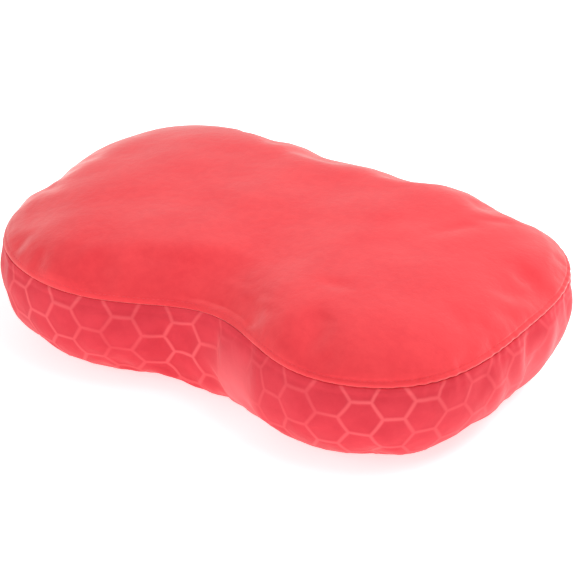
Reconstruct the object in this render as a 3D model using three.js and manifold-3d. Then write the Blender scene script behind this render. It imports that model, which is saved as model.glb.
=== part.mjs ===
// A contoured self-inflating camp pillow: a zipped fabric cover round an airtight bladder with a foam
// core, and a flat two-stage valve at one end. Millimetres. +X runs along the pillow, -Y is its front
// with the deep waist, +Z is up, and the origin is the middle of the flat base.
import * as THREE from "three";
import { mergeVertices } from "three/addons/utils/BufferGeometryUtils.js";
import Module from "manifold-3d";

const wasm = await Module();
wasm.setup();

// ---- Driving dimensions ----
const LENGTH = 390; // seam line, end to end
const DEPTH = 287; // of the rounded rectangle, before the waists are drawn in
const HEIGHT = 100;
const SEAM_HEIGHT = 72; // where the top panel meets the side wall
const CORNER_POWER = 3.25; // 2 is an ellipse, and more is squarer
const CROWN_POWER = 4; // how flat the top is before it turns down to the seam
const FRONT_WAIST = { depth: 30, width: 66 };
const REAR_WAIST = { depth: 16, width: 156 };
const WALL_TUCK = 46; // how far the wall curves in under the pillow
const WALL_BULGE = 5.6;

const FABRIC = 1.2; // cover fabric
const TAPE = 0.6; // seam bindings, zip tape and bladder film
const GAP = 0.3; // left between pieces that touch
const BINDING_DEPTH = FABRIC + GAP + 0.1; // below the cover's outer face
const FILM_DEPTH = BINDING_DEPTH + TAPE + GAP + 0.1;
const FOAM_DEPTH = FILM_DEPTH + TAPE + GAP;
const BINDING_WIDTH = 6;
const THREAD = 0.6;
const TOPSTITCH_RISE = 3; // up the top panel from the seam

const SEAM_MARGIN = 7; // from the upper seam down to the valve's flange and the zip's tape

// The zip: coils, then what is cut and sewn to fit them.
const COIL = { length: 173.6, width: 2.2, thick: 1.6, split: 0.7 }; // split is half the gap
const COIL_OUTER = COIL.split + COIL.width;
const STOP = { length: 2.6, bottomLength: 4, proud: 0.8 }; // proud of the coils, to stop the slider
const STOP_OUTER = COIL_OUTER + STOP.proud;
const SLIDER = { length: 11, plate: 1, flange: 1.1, divider: 2 };
const SLIDER_HALF = COIL_OUTER + GAP + SLIDER.flange;
const SLOT_HALF = SLIDER_HALF + 1.7;
const SLOT_LENGTH = COIL.length + 2 * (STOP.bottomLength + 1.2);
const TAPE_MARGIN = { side: 5.1, end: 8 }; // of tape beyond the slot
const TAPE_HALF = SLOT_HALF + TAPE_MARGIN.side;
const TAPE_END = SLOT_LENGTH / 2 + TAPE_MARGIN.end;
const ZIP_HEIGHT = SEAM_HEIGHT - SEAM_MARGIN - TAPE_HALF;
const BRIDGE = { length: 6.2, width: 2.4, post: 1, beam: 0.8, clear: 1.7 };
const PULL = { length: 24, thick: 1.2, arm: 1.6, tip: 4.4 };
const PULL_CLEARANCE = { side: 0.4, end: 1.3 };
const EYE_HALF = BRIDGE.width / 2 + PULL_CLEARANCE.side;
const EYE_END = BRIDGE.length / 2 + PULL_CLEARANCE.end;

// The valve, outwards from its bore. Every cap, seal and hinge follows the bore.
const VALVE = { bore: 10.2, wall: 2.3, ledge: 1.8, flangeWidth: 4.5, proud: 0.8 };
const CAP_CLEARANCE = 0.4;
const NECK = VALVE.bore + VALVE.wall;
const THROAT = VALVE.bore - VALVE.ledge;
const FLANGE = NECK + VALVE.flangeWidth;
const VALVE_HEIGHT = SEAM_HEIGHT - SEAM_MARGIN - FLANGE;
const SEAL = { width: 0.9, thick: 0.8 };
const DEFLATE = { plate: 1.3, skirtDrop: 1.5, ring: 3.8, web: 0.6, lip: 3 };
const SKIRT = VALVE.bore - CAP_CLEARANCE;
const INLET = SKIRT - DEFLATE.ring;
const DEFLATE_RADIUS = NECK - 0.2;
const SEAT_DEPTH = DEFLATE.skirtDrop + GAP + SEAL.thick + GAP; // of the ledge, below the rim
const INFLATE = { rim: 2.4, plate: 1.1, plugDrop: 1.1, lip: 2.4 };
const INFLATE_RADIUS = INLET + INFLATE.rim;
const CHECK = { lap: 1.6, thick: 0.5, stem: 0.9, head: 1.5, headThick: 0.5, lift: 0.9 };
const STEM_HOLE = CHECK.stem + GAP;
const BASE_HINGE = { out: NECK + 1.9, rise: 1.2, bar: 0.8, knuckle: 1.7, half: 2, ear: 1.4, reach: 1.4 };
const CAP_HINGE = {
  out: INFLATE_RADIUS + 1.8, rise: 3.2, bar: 0.65, knuckle: 1.3, half: 1.8, ear: 1.2, reach: 1.4,
};
const HINGE_CLEARANCE = 0.25;
const PORT = { inner: NECK + CAP_CLEARANCE, outer: NECK + CAP_CLEARANCE + 1 };
const FLANGE_HOLE = FLANGE + GAP; // in the film and the foam
const POCKET = 12; // hollow in the foam behind the valve

// ---- Resolution ----
const COLUMNS = 60;
const OUTLINE_STEPS = 720;
const CROWN_ANGLES = [64, 44, 27, 12, 0]; // degrees up from the seam, from the middle outwards
const WALL_ANGLES = [0, 10, 21, 34, 49, 67, 90]; // degrees down from the seam
const ROUND_SEGMENTS = 32;

// ---- Finishes ----
const finish = (color, roughness, metalness = 0) =>
  new THREE.MeshStandardMaterial({ color, roughness, metalness });
const BRUSHED_FABRIC = finish(0xf75058, 0.9);
const HEX_FABRIC = finish(0xe84a58, 0.8);
const BINDING_TAPE = finish(0xc43a46, 0.85);
const THREAD_FINISH = finish(0xe0454f, 0.7);
const FILM = finish(0x9aa3a8, 0.45);
const FOAM = finish(0xeae3d2, 0.95);
const VALVE_PLASTIC = finish(0x2a2c2f, 0.5);
const CAP_PLASTIC = finish(0x3a3d41, 0.45);
const SILICONE = finish(0xd9d4cb, 0.6);
const ZIP_TAPE = finish(0xb93641, 0.85);
const COIL_NYLON = finish(0xa92f3a, 0.5);
const SLIDER_METAL = finish(0x4a4b4f, 0.35, 0.9);

const radians = THREE.MathUtils.degToRad;

// ---- Solids ----
function toSolid(geometry) {
  const bare = geometry.clone();
  bare.deleteAttribute("normal");
  bare.deleteAttribute("uv");
  const merged = mergeVertices(bare, 1e-4);
  return new wasm.Manifold(
    new wasm.Mesh({
      numProp: 3,
      vertProperties: merged.getAttribute("position").array,
      triVerts: new Uint32Array(merged.index.array),
    }),
  );
}

function toGeometry(manifold) {
  const mesh = manifold.getMesh();
  return new THREE.BufferGeometry()
    .setAttribute("position", new THREE.BufferAttribute(mesh.vertProperties, 3))
    .setIndex(new THREE.BufferAttribute(mesh.triVerts, 1))
    .toNonIndexed();
}

function makeMesh(name, shape, material) {
  const geometry = shape.isBufferGeometry ? shape : toGeometry(shape);
  geometry.computeVertexNormals();
  const mesh = new THREE.Mesh(geometry, material);
  mesh.name = name;
  return mesh;
}

// A box given by its low and high corners.
function block(low, high) {
  const size = high.map((value, axis) => value - low[axis]);
  const middle = high.map((value, axis) => (value + low[axis]) / 2);
  return toSolid(new THREE.BoxGeometry(...size).translate(...middle));
}

// A solid of revolution about Z, from [radius, height] points that run upwards on the outside.
function revolve(points) {
  const profile = [...points, points[0]].map(([radius, height]) => new THREE.Vector2(radius, height));
  return toSolid(new THREE.LatheGeometry(profile, ROUND_SEGMENTS).rotateX(Math.PI / 2));
}

function disc(radius, low, high) {
  const geometry = new THREE.CylinderGeometry(radius, radius, high - low, ROUND_SEGMENTS);
  return toSolid(geometry.rotateX(Math.PI / 2).translate(0, 0, (low + high) / 2));
}

// A bar along Y at (x, z).
function barAlongY(radius, half, x, z) {
  return toSolid(new THREE.CylinderGeometry(radius, radius, 2 * half, 20).translate(x, 0, z));
}

// Joins closed loops of points into one skin. Poles close the two ends; without them it is a ring.
// Nested skins split their four-sided faces the same way, from the lower loop, so they stay apart.
function loft(loops, poles) {
  const positions = loops.flat().flatMap((point) => [point.x, point.y, point.z]);
  const index = [];
  const strips = poles ? loops.length - 1 : loops.length;
  const at = (loop, column) => (loop % loops.length) * COLUMNS + (column % COLUMNS);
  for (let loop = 0; loop < strips; loop++) {
    const rising = loops[(loop + 1) % loops.length][0].z >= loops[loop][0].z;
    for (let column = 0; column < COLUMNS; column++) {
      const [a, b] = [at(loop, column), at(loop + 1, column)];
      const [c, d] = [at(loop + 1, column + 1), at(loop, column + 1)];
      index.push(...(rising ? [a, b, c, a, c, d] : [a, b, d, b, c, d]));
    }
  }
  if (poles) {
    const first = loops.length * COLUMNS;
    const last = loops.length - 1;
    poles.forEach((pole) => positions.push(pole.x, pole.y, pole.z));
    for (let column = 0; column < COLUMNS; column++) {
      index.push(first, at(0, column), at(0, column + 1));
      index.push(at(last, column), first + 1, at(last, column + 1));
    }
  }
  return new THREE.BufferGeometry()
    .setAttribute("position", new THREE.BufferAttribute(new Float32Array(positions), 3))
    .setIndex(index);
}

// ---- The pillow's form ----
const signedPower = (value, power) => Math.sign(value) * Math.abs(value) ** power;

// A point of the seam line seen from above: a rounded rectangle with both long sides drawn in.
function outlinePoint(angle) {
  const x = (LENGTH / 2) * signedPower(Math.cos(angle), 2 / CORNER_POWER);
  const y = (DEPTH / 2) * signedPower(Math.sin(angle), 2 / CORNER_POWER);
  const waist = y < 0 ? FRONT_WAIST : REAR_WAIST;
  const share = Math.min(1, Math.abs(y) / (DEPTH / 4));
  const drawn = waist.depth * Math.exp(-((x / waist.width) ** 2)) * share;
  return new THREE.Vector2(x, y - Math.sign(y) * drawn);
}

// The seam line as equally spaced points, anticlockwise from the front waist, with outward normals.
function sampleOutline() {
  const dense = Array.from({ length: OUTLINE_STEPS + 1 }, (_, step) =>
    outlinePoint(-Math.PI / 2 + (2 * Math.PI * step) / OUTLINE_STEPS),
  );
  const travelled = [0];
  for (let step = 1; step <= OUTLINE_STEPS; step++)
    travelled.push(travelled[step - 1] + dense[step].distanceTo(dense[step - 1]));
  const total = travelled[OUTLINE_STEPS];
  const points = Array.from({ length: COLUMNS }, (_, column) => {
    const target = (total * column) / COLUMNS;
    const after = Math.max(1, travelled.findIndex((length) => length >= target));
    const share = (target - travelled[after - 1]) / (travelled[after] - travelled[after - 1]);
    return dense[after - 1].clone().lerp(dense[after], share);
  });
  return points.map((point, column) => {
    const ahead = points[(column + 1) % COLUMNS];
    const behind = points[(column + COLUMNS - 1) % COLUMNS];
    const along = ahead.clone().sub(behind).normalize();
    return { point, normal: new THREE.Vector2(along.y, -along.x) };
  });
}
const OUTLINE = sampleOutline();
const COLUMN_STEP = OUTLINE[0].point.distanceTo(OUTLINE[1].point);

// One loop: the outline moved out by `offset` and scaled towards the middle, at height z.
const ring = (offset, z, scale = 1) =>
  OUTLINE.map(({ point, normal }) => {
    const moved = point.clone().addScaledVector(normal, offset).multiplyScalar(scale);
    return new THREE.Vector3(moved.x, moved.y, z);
  });

// Loops of the top, `depth` below its outer face, from the middle out to the seam.
function crownLoops(depth) {
  const foot = SEAM_HEIGHT + GAP / 2;
  return CROWN_ANGLES.map((angle) => {
    const scale = Math.cos(radians(angle)) ** (2 / CROWN_POWER);
    return ring(-depth, foot + (HEIGHT - depth - foot) * Math.sin(radians(angle)), scale);
  });
}

// One loop of the wall, `depth` below its outer face: a quarter ellipse with a slight bulge.
function wallLoop(depth, angle) {
  const turn = radians(angle);
  const offset =
    -WALL_TUCK + (WALL_TUCK - depth) * Math.cos(turn) + WALL_BULGE * Math.sin(2 * turn);
  const head = SEAM_HEIGHT - GAP / 2;
  return ring(offset, depth + (head - depth) * (1 - Math.sin(turn)));
}
const wallLoops = (depth) => WALL_ANGLES.map((angle) => wallLoop(depth, angle));
const topPole = (depth) => new THREE.Vector3(0, 0, HEIGHT - depth);
const basePole = (height) => new THREE.Vector3(0, 0, height);

// ---- Cover ----
function topPanel() {
  const outside = crownLoops(0);
  const inside = crownLoops(FABRIC).reverse();
  return loft([...outside, ...inside], [topPole(0), topPole(FABRIC)]);
}

const sideWallBlank = () => toSolid(loft([...wallLoops(0), ...wallLoops(FABRIC).reverse()]));

function basePanel() {
  const edge = -WALL_TUCK - GAP;
  return loft([ring(edge, FABRIC), ring(edge, 0)], [basePole(FABRIC), basePole(0)]);
}

// A tape inside the upper seam, down the wall from it.
function upperBinding() {
  const lowAngle = THREE.MathUtils.radToDeg(Math.asin(BINDING_WIDTH / SEAM_HEIGHT));
  const face = (depth) => [wallLoop(depth, 0), wallLoop(depth, lowAngle)];
  return loft([...face(BINDING_DEPTH), ...face(BINDING_DEPTH + TAPE).reverse()]);
}

// A tape that lies on the base panel, inside the lower seam.
function lowerBinding() {
  const outer = -WALL_TUCK - GAP;
  const inner = outer - BINDING_WIDTH;
  const low = BINDING_DEPTH;
  const high = low + TAPE;
  return loft([ring(inner, high), ring(outer, high), ring(outer, low), ring(inner, low)]);
}

// The thread of the topstitching, lying on the top panel just above the seam.
function topstitch() {
  const [above, seam] = crownLoops(0).slice(-2);
  const rise = TOPSTITCH_RISE / (above[0].z - seam[0].z);
  const row = (out, up) =>
    seam.map((point, column) => {
      const { normal } = OUTLINE[column];
      const moved = point.clone().lerp(above[column], rise);
      return moved.add(new THREE.Vector3(normal.x * out, normal.y * out, up));
    });
  const near = GAP;
  const far = GAP + THREAD;
  const half = THREAD / 2;
  return loft([row(near, half), row(far, half), row(far, -half), row(near, -half)]);
}

// ---- Places that the cover decides ----
const blank = sideWallBlank();
const zipRegion = block(
  [-TAPE_END, 0, ZIP_HEIGHT - TAPE_HALF],
  [TAPE_END, DEPTH, ZIP_HEIGHT + TAPE_HALF],
);
const ZIP_FACE = blank.intersect(zipRegion).boundingBox().min[1] - GAP; // outer face of the tapes
const SLIDER_BACK = ZIP_FACE - TAPE - GAP - SLIDER.plate;

// A cylinder along X through the left end, at the valve.
function endCylinder(radius, low, high) {
  const geometry = new THREE.CylinderGeometry(radius, radius, high - low, ROUND_SEGMENTS);
  return toSolid(geometry.rotateZ(Math.PI / 2).translate((low + high) / 2, 0, VALVE_HEIGHT));
}
const atValve = (shell, radius) =>
  shell.intersect(endCylinder(radius, -LENGTH, 0)).boundingBox();

// ---- Bladder and foam ----
// Behind the zip the bladder is pressed in, so that the slider runs clear of it. Every layer moves by
// as much as the film's outer face does.
const DISH_SLOPE = 0.35;
const DISH_MARGIN = 4;
function pressedWallLoops(depth) {
  return WALL_ANGLES.map((angle) => {
    const film = wallLoop(FILM_DEPTH, angle);
    return wallLoop(depth, angle).map((point, column) => {
      const { x, y, z } = film[column];
      const past = Math.max(0, Math.abs(x) - TAPE_END - COLUMN_STEP);
      const above = Math.max(0, Math.abs(z - ZIP_HEIGHT) - TAPE_HALF - DISH_MARGIN);
      const limit = SLIDER_BACK - GAP + DISH_SLOPE * (past + above);
      point.y -= Math.max(0, y - limit);
      return point;
    });
  });
}

function upperSheet() {
  const outside = crownLoops(FILM_DEPTH);
  const inside = crownLoops(FILM_DEPTH + TAPE).reverse();
  return loft([...outside, ...inside], [topPole(FILM_DEPTH), topPole(FILM_DEPTH + TAPE)]);
}

function lowerShellBlank() {
  const inner = FILM_DEPTH + TAPE;
  const loops = [...pressedWallLoops(inner).reverse(), ...pressedWallLoops(FILM_DEPTH)];
  return toSolid(loft(loops, [basePole(inner), basePole(FILM_DEPTH)]));
}

function foamBlank() {
  const loops = [...crownLoops(FOAM_DEPTH), ...pressedWallLoops(FOAM_DEPTH)];
  return toSolid(loft(loops, [topPole(FOAM_DEPTH), basePole(FOAM_DEPTH)]));
}

const shellBlank = lowerShellBlank();
const RIM_X = atValve(blank, NECK).min[0] - VALVE.proud; // the valve's rim, at the left end
const FLANGE_FACE = RIM_X - atValve(blank, FLANGE).max[0] - GAP; // heights from the rim
const FLANGE_BACK = RIM_X - atValve(shellBlank, FLANGE_HOLE).max[0];

// ---- Valve, in its own frame: +Z points out of the pillow, +X up its end, z = 0 on the rim ----
const EAR_FOOT = 0.45; // thickness of the foot that joins each ear to its rim or cap

// Two ears with a bar between them, on one side of a rim or cap.
function hingeEars(hinge, side, foot, low, top) {
  const inner = hinge.half + 2 * GAP;
  const outer = inner + hinge.ear;
  const near = hinge.out - hinge.knuckle;
  const far = hinge.out + hinge.reach;
  const across = (from, to) => (side > 0 ? [from, to] : [-to, -from]);
  const ear = (sign) => {
    const [left, right] = across(near, far);
    const [footLeft, footRight] = across(foot, far);
    const [bottom, up] = sign > 0 ? [inner, outer] : [-outer, -inner];
    return block([left, bottom, low], [right, up, top]).add(
      block([footLeft, bottom, low], [footRight, up, low + EAR_FOOT]),
    );
  };
  const bar = barAlongY(hinge.bar, inner + hinge.ear / 2, side * hinge.out, hinge.rise);
  return ear(1).add(ear(-1)).add(bar);
}

// The knuckle that turns on such a bar, with the strap that joins it to its cap.
function hingeKnuckle(hinge, side, strapFrom, low, high) {
  const bore = hinge.bar + HINGE_CLEARANCE;
  const strapEnd = hinge.out - bore - 0.15;
  const [left, right] = side > 0 ? [strapFrom, strapEnd] : [-strapEnd, -strapFrom];
  const strap = block([left, -hinge.half, low], [right, hinge.half, high]);
  const round = barAlongY(hinge.knuckle, hinge.half, side * hinge.out, hinge.rise);
  const hole = barAlongY(bore, hinge.half + 1, side * hinge.out, hinge.rise);
  return round.add(strap).subtract(hole);
}

function valveBase() {
  const ring = revolve([
    [THROAT, FLANGE_BACK],
    [FLANGE, FLANGE_BACK],
    [FLANGE, FLANGE_FACE],
    [NECK, FLANGE_FACE],
    [NECK, 0],
    [VALVE.bore, 0],
    [VALVE.bore, -SEAT_DEPTH],
    [THROAT, -SEAT_DEPTH],
  ]);
  const top = BASE_HINGE.rise + BASE_HINGE.bar + 0.4;
  return ring.add(hingeEars(BASE_HINGE, 1, NECK - 1, -EAR_FOOT, top));
}

function sealRing() {
  const low = -SEAT_DEPTH + GAP;
  const high = low + SEAL.thick;
  const outer = VALVE.bore - GAP;
  const inner = outer - SEAL.width;
  return revolve([
    [inner, low],
    [outer, low],
    [outer, high],
    [inner, high],
  ]);
}

function deflateCap() {
  const top = GAP + DEFLATE.plate;
  const plug = -DEFLATE.skirtDrop;
  const ring = revolve([
    [INLET, plug],
    [SKIRT, plug],
    [SKIRT, GAP],
    [DEFLATE_RADIUS, GAP],
    [DEFLATE_RADIUS, top],
    [INLET, top],
  ]);
  const webTop = plug + DEFLATE.web;
  const reach = INLET + 0.5;
  const spokes = block([-reach, -0.8, plug], [reach, 0.8, webTop]).add(
    block([-0.8, -reach, plug], [0.8, reach, webTop]),
  );
  const hub = disc(STEM_HOLE + 1, plug, webTop);
  const web = spokes.add(hub).subtract(disc(STEM_HOLE, plug - 1, webTop + 1));
  const lipEnd = DEFLATE_RADIUS + DEFLATE.lip;
  const lip = block([-lipEnd, -4, GAP + 0.2], [-DEFLATE_RADIUS + 1, 4, top]);
  const earTop = CAP_HINGE.rise + CAP_HINGE.bar + 0.25;
  const ears = hingeEars(CAP_HINGE, -1, CAP_HINGE.out - CAP_HINGE.knuckle, top - 0.3, earTop);
  const knuckle = hingeKnuckle(BASE_HINGE, 1, DEFLATE_RADIUS - 0.8, GAP, top);
  return ring.add(web).add(lip).add(ears).add(knuckle);
}

function inflateCap() {
  const low = GAP + DEFLATE.plate + GAP;
  const top = low + INFLATE.plate;
  const plug = low - INFLATE.plugDrop;
  const cap = revolve([
    [0, plug],
    [INLET - CAP_CLEARANCE, plug],
    [INLET - CAP_CLEARANCE, low],
    [INFLATE_RADIUS, low],
    [INFLATE_RADIUS, top],
    [0, top],
  ]);
  const lipEnd = INFLATE_RADIUS + INFLATE.lip;
  const lip = block([INFLATE_RADIUS - 1, -2.5, low + 0.2], [lipEnd, 2.5, top - 0.2]);
  return cap.add(lip).add(hingeKnuckle(CAP_HINGE, -1, INFLATE_RADIUS - 0.9, low, top));
}

function checkDisc() {
  const top = -DEFLATE.skirtDrop - GAP;
  const headLow = -DEFLATE.skirtDrop + DEFLATE.web + CHECK.lift;
  return revolve([
    [0, top - CHECK.thick],
    [INLET + CHECK.lap, top - CHECK.thick],
    [INLET + CHECK.lap, top],
    [CHECK.stem, top],
    [CHECK.stem, headLow],
    [CHECK.head, headLow],
    [CHECK.head, headLow + CHECK.headThick],
    [0, headLow + CHECK.headThick],
  ]);
}

// The bound edge of the cover's hole, round the valve's neck.
function portBinding() {
  const low = FLANGE_FACE + GAP;
  const high = -VALVE.proud;
  return revolve([
    [PORT.inner, low],
    [PORT.outer, low],
    [PORT.outer, high],
    [PORT.inner, high],
  ]);
}

function valve() {
  const group = new THREE.Group();
  group.add(
    makeMesh("valve_base", valveBase(), VALVE_PLASTIC),
    makeMesh("valve_seal_ring", sealRing(), SILICONE),
    makeMesh("valve_deflate_cap", deflateCap(), CAP_PLASTIC),
    makeMesh("valve_inflate_cap", inflateCap(), VALVE_PLASTIC),
    makeMesh("valve_check_disc", checkDisc(), SILICONE),
    makeMesh("valve_port_binding", portBinding(), BINDING_TAPE),
  );
  group.position.set(RIM_X, 0, VALVE_HEIGHT);
  group.rotation.y = -Math.PI / 2;
  return group;
}

// ---- Zip, in its own frame: +X towards the closed end, +Y up, z = 0 on the tapes' outer face ----
const coilLow = GAP;
const coilHigh = coilLow + COIL.thick;
const COIL_END = COIL.length / 2;

// The part of the zip above its middle line for side 1, and below it for side -1.
function zipSide(side, from, to, x0, x1, low, high) {
  const [bottom, top] = side > 0 ? [from, to] : [-to, -from];
  return block([x0, bottom, low], [x1, top, high]);
}

function zipSlider() {
  const half = SLIDER.length / 2;
  const edge = SLIDER_HALF;
  const topLow = coilHigh + GAP;
  const topHigh = topLow + SLIDER.plate;
  const backHigh = -TAPE - GAP;
  const backLow = backHigh - SLIDER.plate;
  const dividerX = half - SLIDER.divider;
  const bridgeHalf = BRIDGE.length / 2;
  const beam = topHigh + BRIDGE.clear;
  const post = (x0, x1) =>
    block([x0, -BRIDGE.width / 2, topHigh - 0.2], [x1, BRIDGE.width / 2, beam + BRIDGE.beam]);
  return block([-half, -edge, topLow], [half, edge, topHigh])
    .add(block([-half, -edge, backLow], [half, edge, backHigh]))
    .add(zipSide(1, edge - SLIDER.flange, edge, -half, half, GAP, topLow + 0.2))
    .add(zipSide(-1, edge - SLIDER.flange, edge, -half, half, GAP, topLow + 0.2))
    .add(
      block(
        [dividerX - SLIDER.divider, -COIL.split / 2, backHigh - 0.2],
        [dividerX, COIL.split / 2, topLow + 0.2],
      ),
    )
    .add(post(-bridgeHalf, -bridgeHalf + BRIDGE.post))
    .add(post(bridgeHalf - BRIDGE.post, bridgeHalf))
    .add(
      block(
        [-bridgeHalf, -BRIDGE.width / 2, beam],
        [bridgeHalf, BRIDGE.width / 2, beam + BRIDGE.beam],
      ),
    );
}
const PULL_RISE = coilHigh + GAP + SLIDER.plate + BRIDGE.clear / 2;

// The pull tab lies back over the closed zip, its crossbar through the slider's bridge.
function pullTab() {
  const half = EYE_HALF + PULL.arm;
  const low = PULL_RISE - PULL.thick / 2;
  const high = PULL_RISE + PULL.thick / 2;
  const leaf = new THREE.Shape();
  leaf.moveTo(-EYE_END, -half);
  leaf.lineTo(-PULL.length + half, -PULL.tip / 2);
  leaf.quadraticCurveTo(-PULL.length, -PULL.tip / 2, -PULL.length, 0);
  leaf.quadraticCurveTo(-PULL.length, PULL.tip / 2, -PULL.length + half, PULL.tip / 2);
  leaf.lineTo(-EYE_END, half);
  leaf.closePath();
  const extrude = { depth: PULL.thick, bevelEnabled: false, curveSegments: 6 };
  const blade = toSolid(new THREE.ExtrudeGeometry(leaf, extrude).translate(0, 0, low));
  const crossbar = barAlongY(PULL.thick / 2, half, 0, PULL_RISE);
  return blade
    .add(crossbar)
    .add(zipSide(1, EYE_HALF, half, -EYE_END - 0.5, 0, low, high))
    .add(zipSide(-1, EYE_HALF, half, -EYE_END - 0.5, 0, low, high));
}

function zip() {
  const group = new THREE.Group();
  const stopFrom = COIL_END + GAP;
  const stopTo = stopFrom + STOP.length;
  for (const [side, word] of [[1, "upper"], [-1, "lower"]]) {
    const tape = zipSide(side, COIL.split, TAPE_HALF, -TAPE_END, TAPE_END, -TAPE, 0);
    const coil = zipSide(side, COIL.split, COIL_OUTER, -COIL_END, COIL_END, coilLow, coilHigh);
    const stop = zipSide(side, COIL.split, STOP_OUTER, stopFrom, stopTo, coilLow, coilHigh);
    group.add(
      makeMesh(`zip_tape_${word}`, tape, ZIP_TAPE),
      makeMesh(`zip_coil_${word}`, coil, COIL_NYLON),
      makeMesh(`zip_top_stop_${word}`, stop, SLIDER_METAL),
    );
  }
  const bottomStop = block(
    [-COIL_END - GAP - STOP.bottomLength, -STOP_OUTER, coilLow],
    [-COIL_END - GAP, STOP_OUTER, coilHigh],
  );
  group.add(makeMesh("zip_bottom_stop", bottomStop, SLIDER_METAL));

  const slider = new THREE.Group();
  slider.add(
    makeMesh("zip_slider", zipSlider(), SLIDER_METAL),
    makeMesh("zip_pull_tab", pullTab(), SLIDER_METAL),
  );
  slider.position.x = stopFrom - GAP - SLIDER.length / 2;
  group.add(slider);

  const axes = [new THREE.Vector3(-1, 0, 0), new THREE.Vector3(0, 0, 1), new THREE.Vector3(0, 1, 0)];
  group.setRotationFromMatrix(new THREE.Matrix4().makeBasis(...axes));
  group.position.set(0, ZIP_FACE, ZIP_HEIGHT);
  return group;
}

// ---- Assembly ----
function cover() {
  const slot = block(
    [-SLOT_LENGTH / 2, SLIDER_BACK, ZIP_HEIGHT - SLOT_HALF],
    [SLOT_LENGTH / 2, DEPTH, ZIP_HEIGHT + SLOT_HALF],
  );
  const port = endCylinder(PORT.outer + GAP, -LENGTH, 0);
  const group = new THREE.Group();
  group.add(
    makeMesh("cover_top_panel", topPanel(), BRUSHED_FABRIC),
    makeMesh("cover_side_wall", blank.subtract(slot).subtract(port), HEX_FABRIC),
    makeMesh("cover_base_panel", basePanel(), HEX_FABRIC),
    makeMesh("upper_seam_binding", upperBinding(), BINDING_TAPE),
    makeMesh("lower_seam_binding", lowerBinding(), BINDING_TAPE),
    makeMesh("upper_seam_topstitch", topstitch(), THREAD_FINISH),
  );
  return group;
}

function bladder() {
  const hole = endCylinder(FLANGE_HOLE, -LENGTH, 0);
  const pocketEnd = RIM_X - FLANGE_BACK + POCKET;
  const pocket = endCylinder(FLANGE_HOLE, -LENGTH, pocketEnd);
  const group = new THREE.Group();
  group.add(
    makeMesh("bladder_upper_sheet", upperSheet(), FILM),
    makeMesh("bladder_lower_shell", shellBlank.subtract(hole), FILM),
    makeMesh("foam_core", foamBlank().subtract(pocket), FOAM),
  );
  return group;
}

const pillow = new THREE.Group();
pillow.add(cover(), bladder(), valve(), zip());
export default pillow;
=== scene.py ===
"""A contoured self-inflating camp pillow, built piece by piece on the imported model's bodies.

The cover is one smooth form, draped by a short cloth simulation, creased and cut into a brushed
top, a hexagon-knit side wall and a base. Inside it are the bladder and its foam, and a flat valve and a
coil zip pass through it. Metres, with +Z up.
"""
from __future__ import annotations

import logging
import math
from dataclasses import dataclass, field
from enum import Enum
from typing import Callable, Iterable, Sequence

import bpy
import numpy as np
from mathutils import Matrix, Vector
from mathutils.kdtree import KDTree


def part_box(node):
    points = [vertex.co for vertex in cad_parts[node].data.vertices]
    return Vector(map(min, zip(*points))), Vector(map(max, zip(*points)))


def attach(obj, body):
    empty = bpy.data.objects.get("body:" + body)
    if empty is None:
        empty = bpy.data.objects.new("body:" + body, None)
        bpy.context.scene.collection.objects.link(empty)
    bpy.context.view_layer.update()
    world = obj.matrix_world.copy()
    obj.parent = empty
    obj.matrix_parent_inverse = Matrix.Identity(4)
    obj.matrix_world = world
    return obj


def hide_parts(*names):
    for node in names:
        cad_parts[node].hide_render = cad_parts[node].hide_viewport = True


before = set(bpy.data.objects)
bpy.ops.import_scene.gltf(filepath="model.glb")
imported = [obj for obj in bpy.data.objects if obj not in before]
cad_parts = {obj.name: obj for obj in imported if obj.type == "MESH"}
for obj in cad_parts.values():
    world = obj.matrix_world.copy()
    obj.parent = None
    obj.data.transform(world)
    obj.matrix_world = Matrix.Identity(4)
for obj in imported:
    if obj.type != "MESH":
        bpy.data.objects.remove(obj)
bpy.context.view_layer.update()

log = logging.getLogger("camp_pillow")
MM = 0.001
Point = tuple[float, float, float]
Paint = dict[str, bpy.types.Material]


# ---- Finishes ----
class Grain(Enum):
    """How a fabric's surface is worked."""

    BRUSHED = "brushed"
    WOVEN = "woven"


def linear(code: str) -> tuple[float, float, float, float]:
    """The linear colour of a six-digit sRGB code."""
    parts = [int(code[i : i + 2], 16) / 255 for i in (0, 2, 4)]
    lin = [c / 12.92 if c <= 0.04045 else ((c + 0.055) / 1.055) ** 2.4 for c in parts]
    return lin[0], lin[1], lin[2], 1.0


class Nodes:
    """A node tree, with short ways to add and join its nodes."""

    tree: bpy.types.NodeTree

    def feed(self, socket: bpy.types.NodeSocket, value: object) -> None:
        """Gives an input a link or a value."""
        if isinstance(value, bpy.types.NodeSocket):
            self.tree.links.new(value, socket)
        else:
            socket.default_value = value

    def add(self, kind: str, **values: object) -> bpy.types.Node:
        """Adds a node.

        Args:
            kind: The node's type.
            **values: Its properties, or what its inputs take, named with _ for a space.

        Returns:
            The node.
        """
        node = self.tree.nodes.new(kind)
        for key, value in values.items():
            if hasattr(node, key):
                setattr(node, key, value)
            else:
                self.feed(node.inputs[key.replace("_", " ")], value)
        return node

    def math(self, kind: str, *terms: object, clamp: bool = False) -> bpy.types.NodeSocket:
        """Adds a Math node of sockets or numbers and returns its output, kept from 0 to 1 if clamped."""
        node = self.add("ShaderNodeMath", operation=kind, use_clamp=clamp)
        for socket, term in zip(node.inputs, terms):
            self.feed(socket, term)
        return node.outputs[0]


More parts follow.
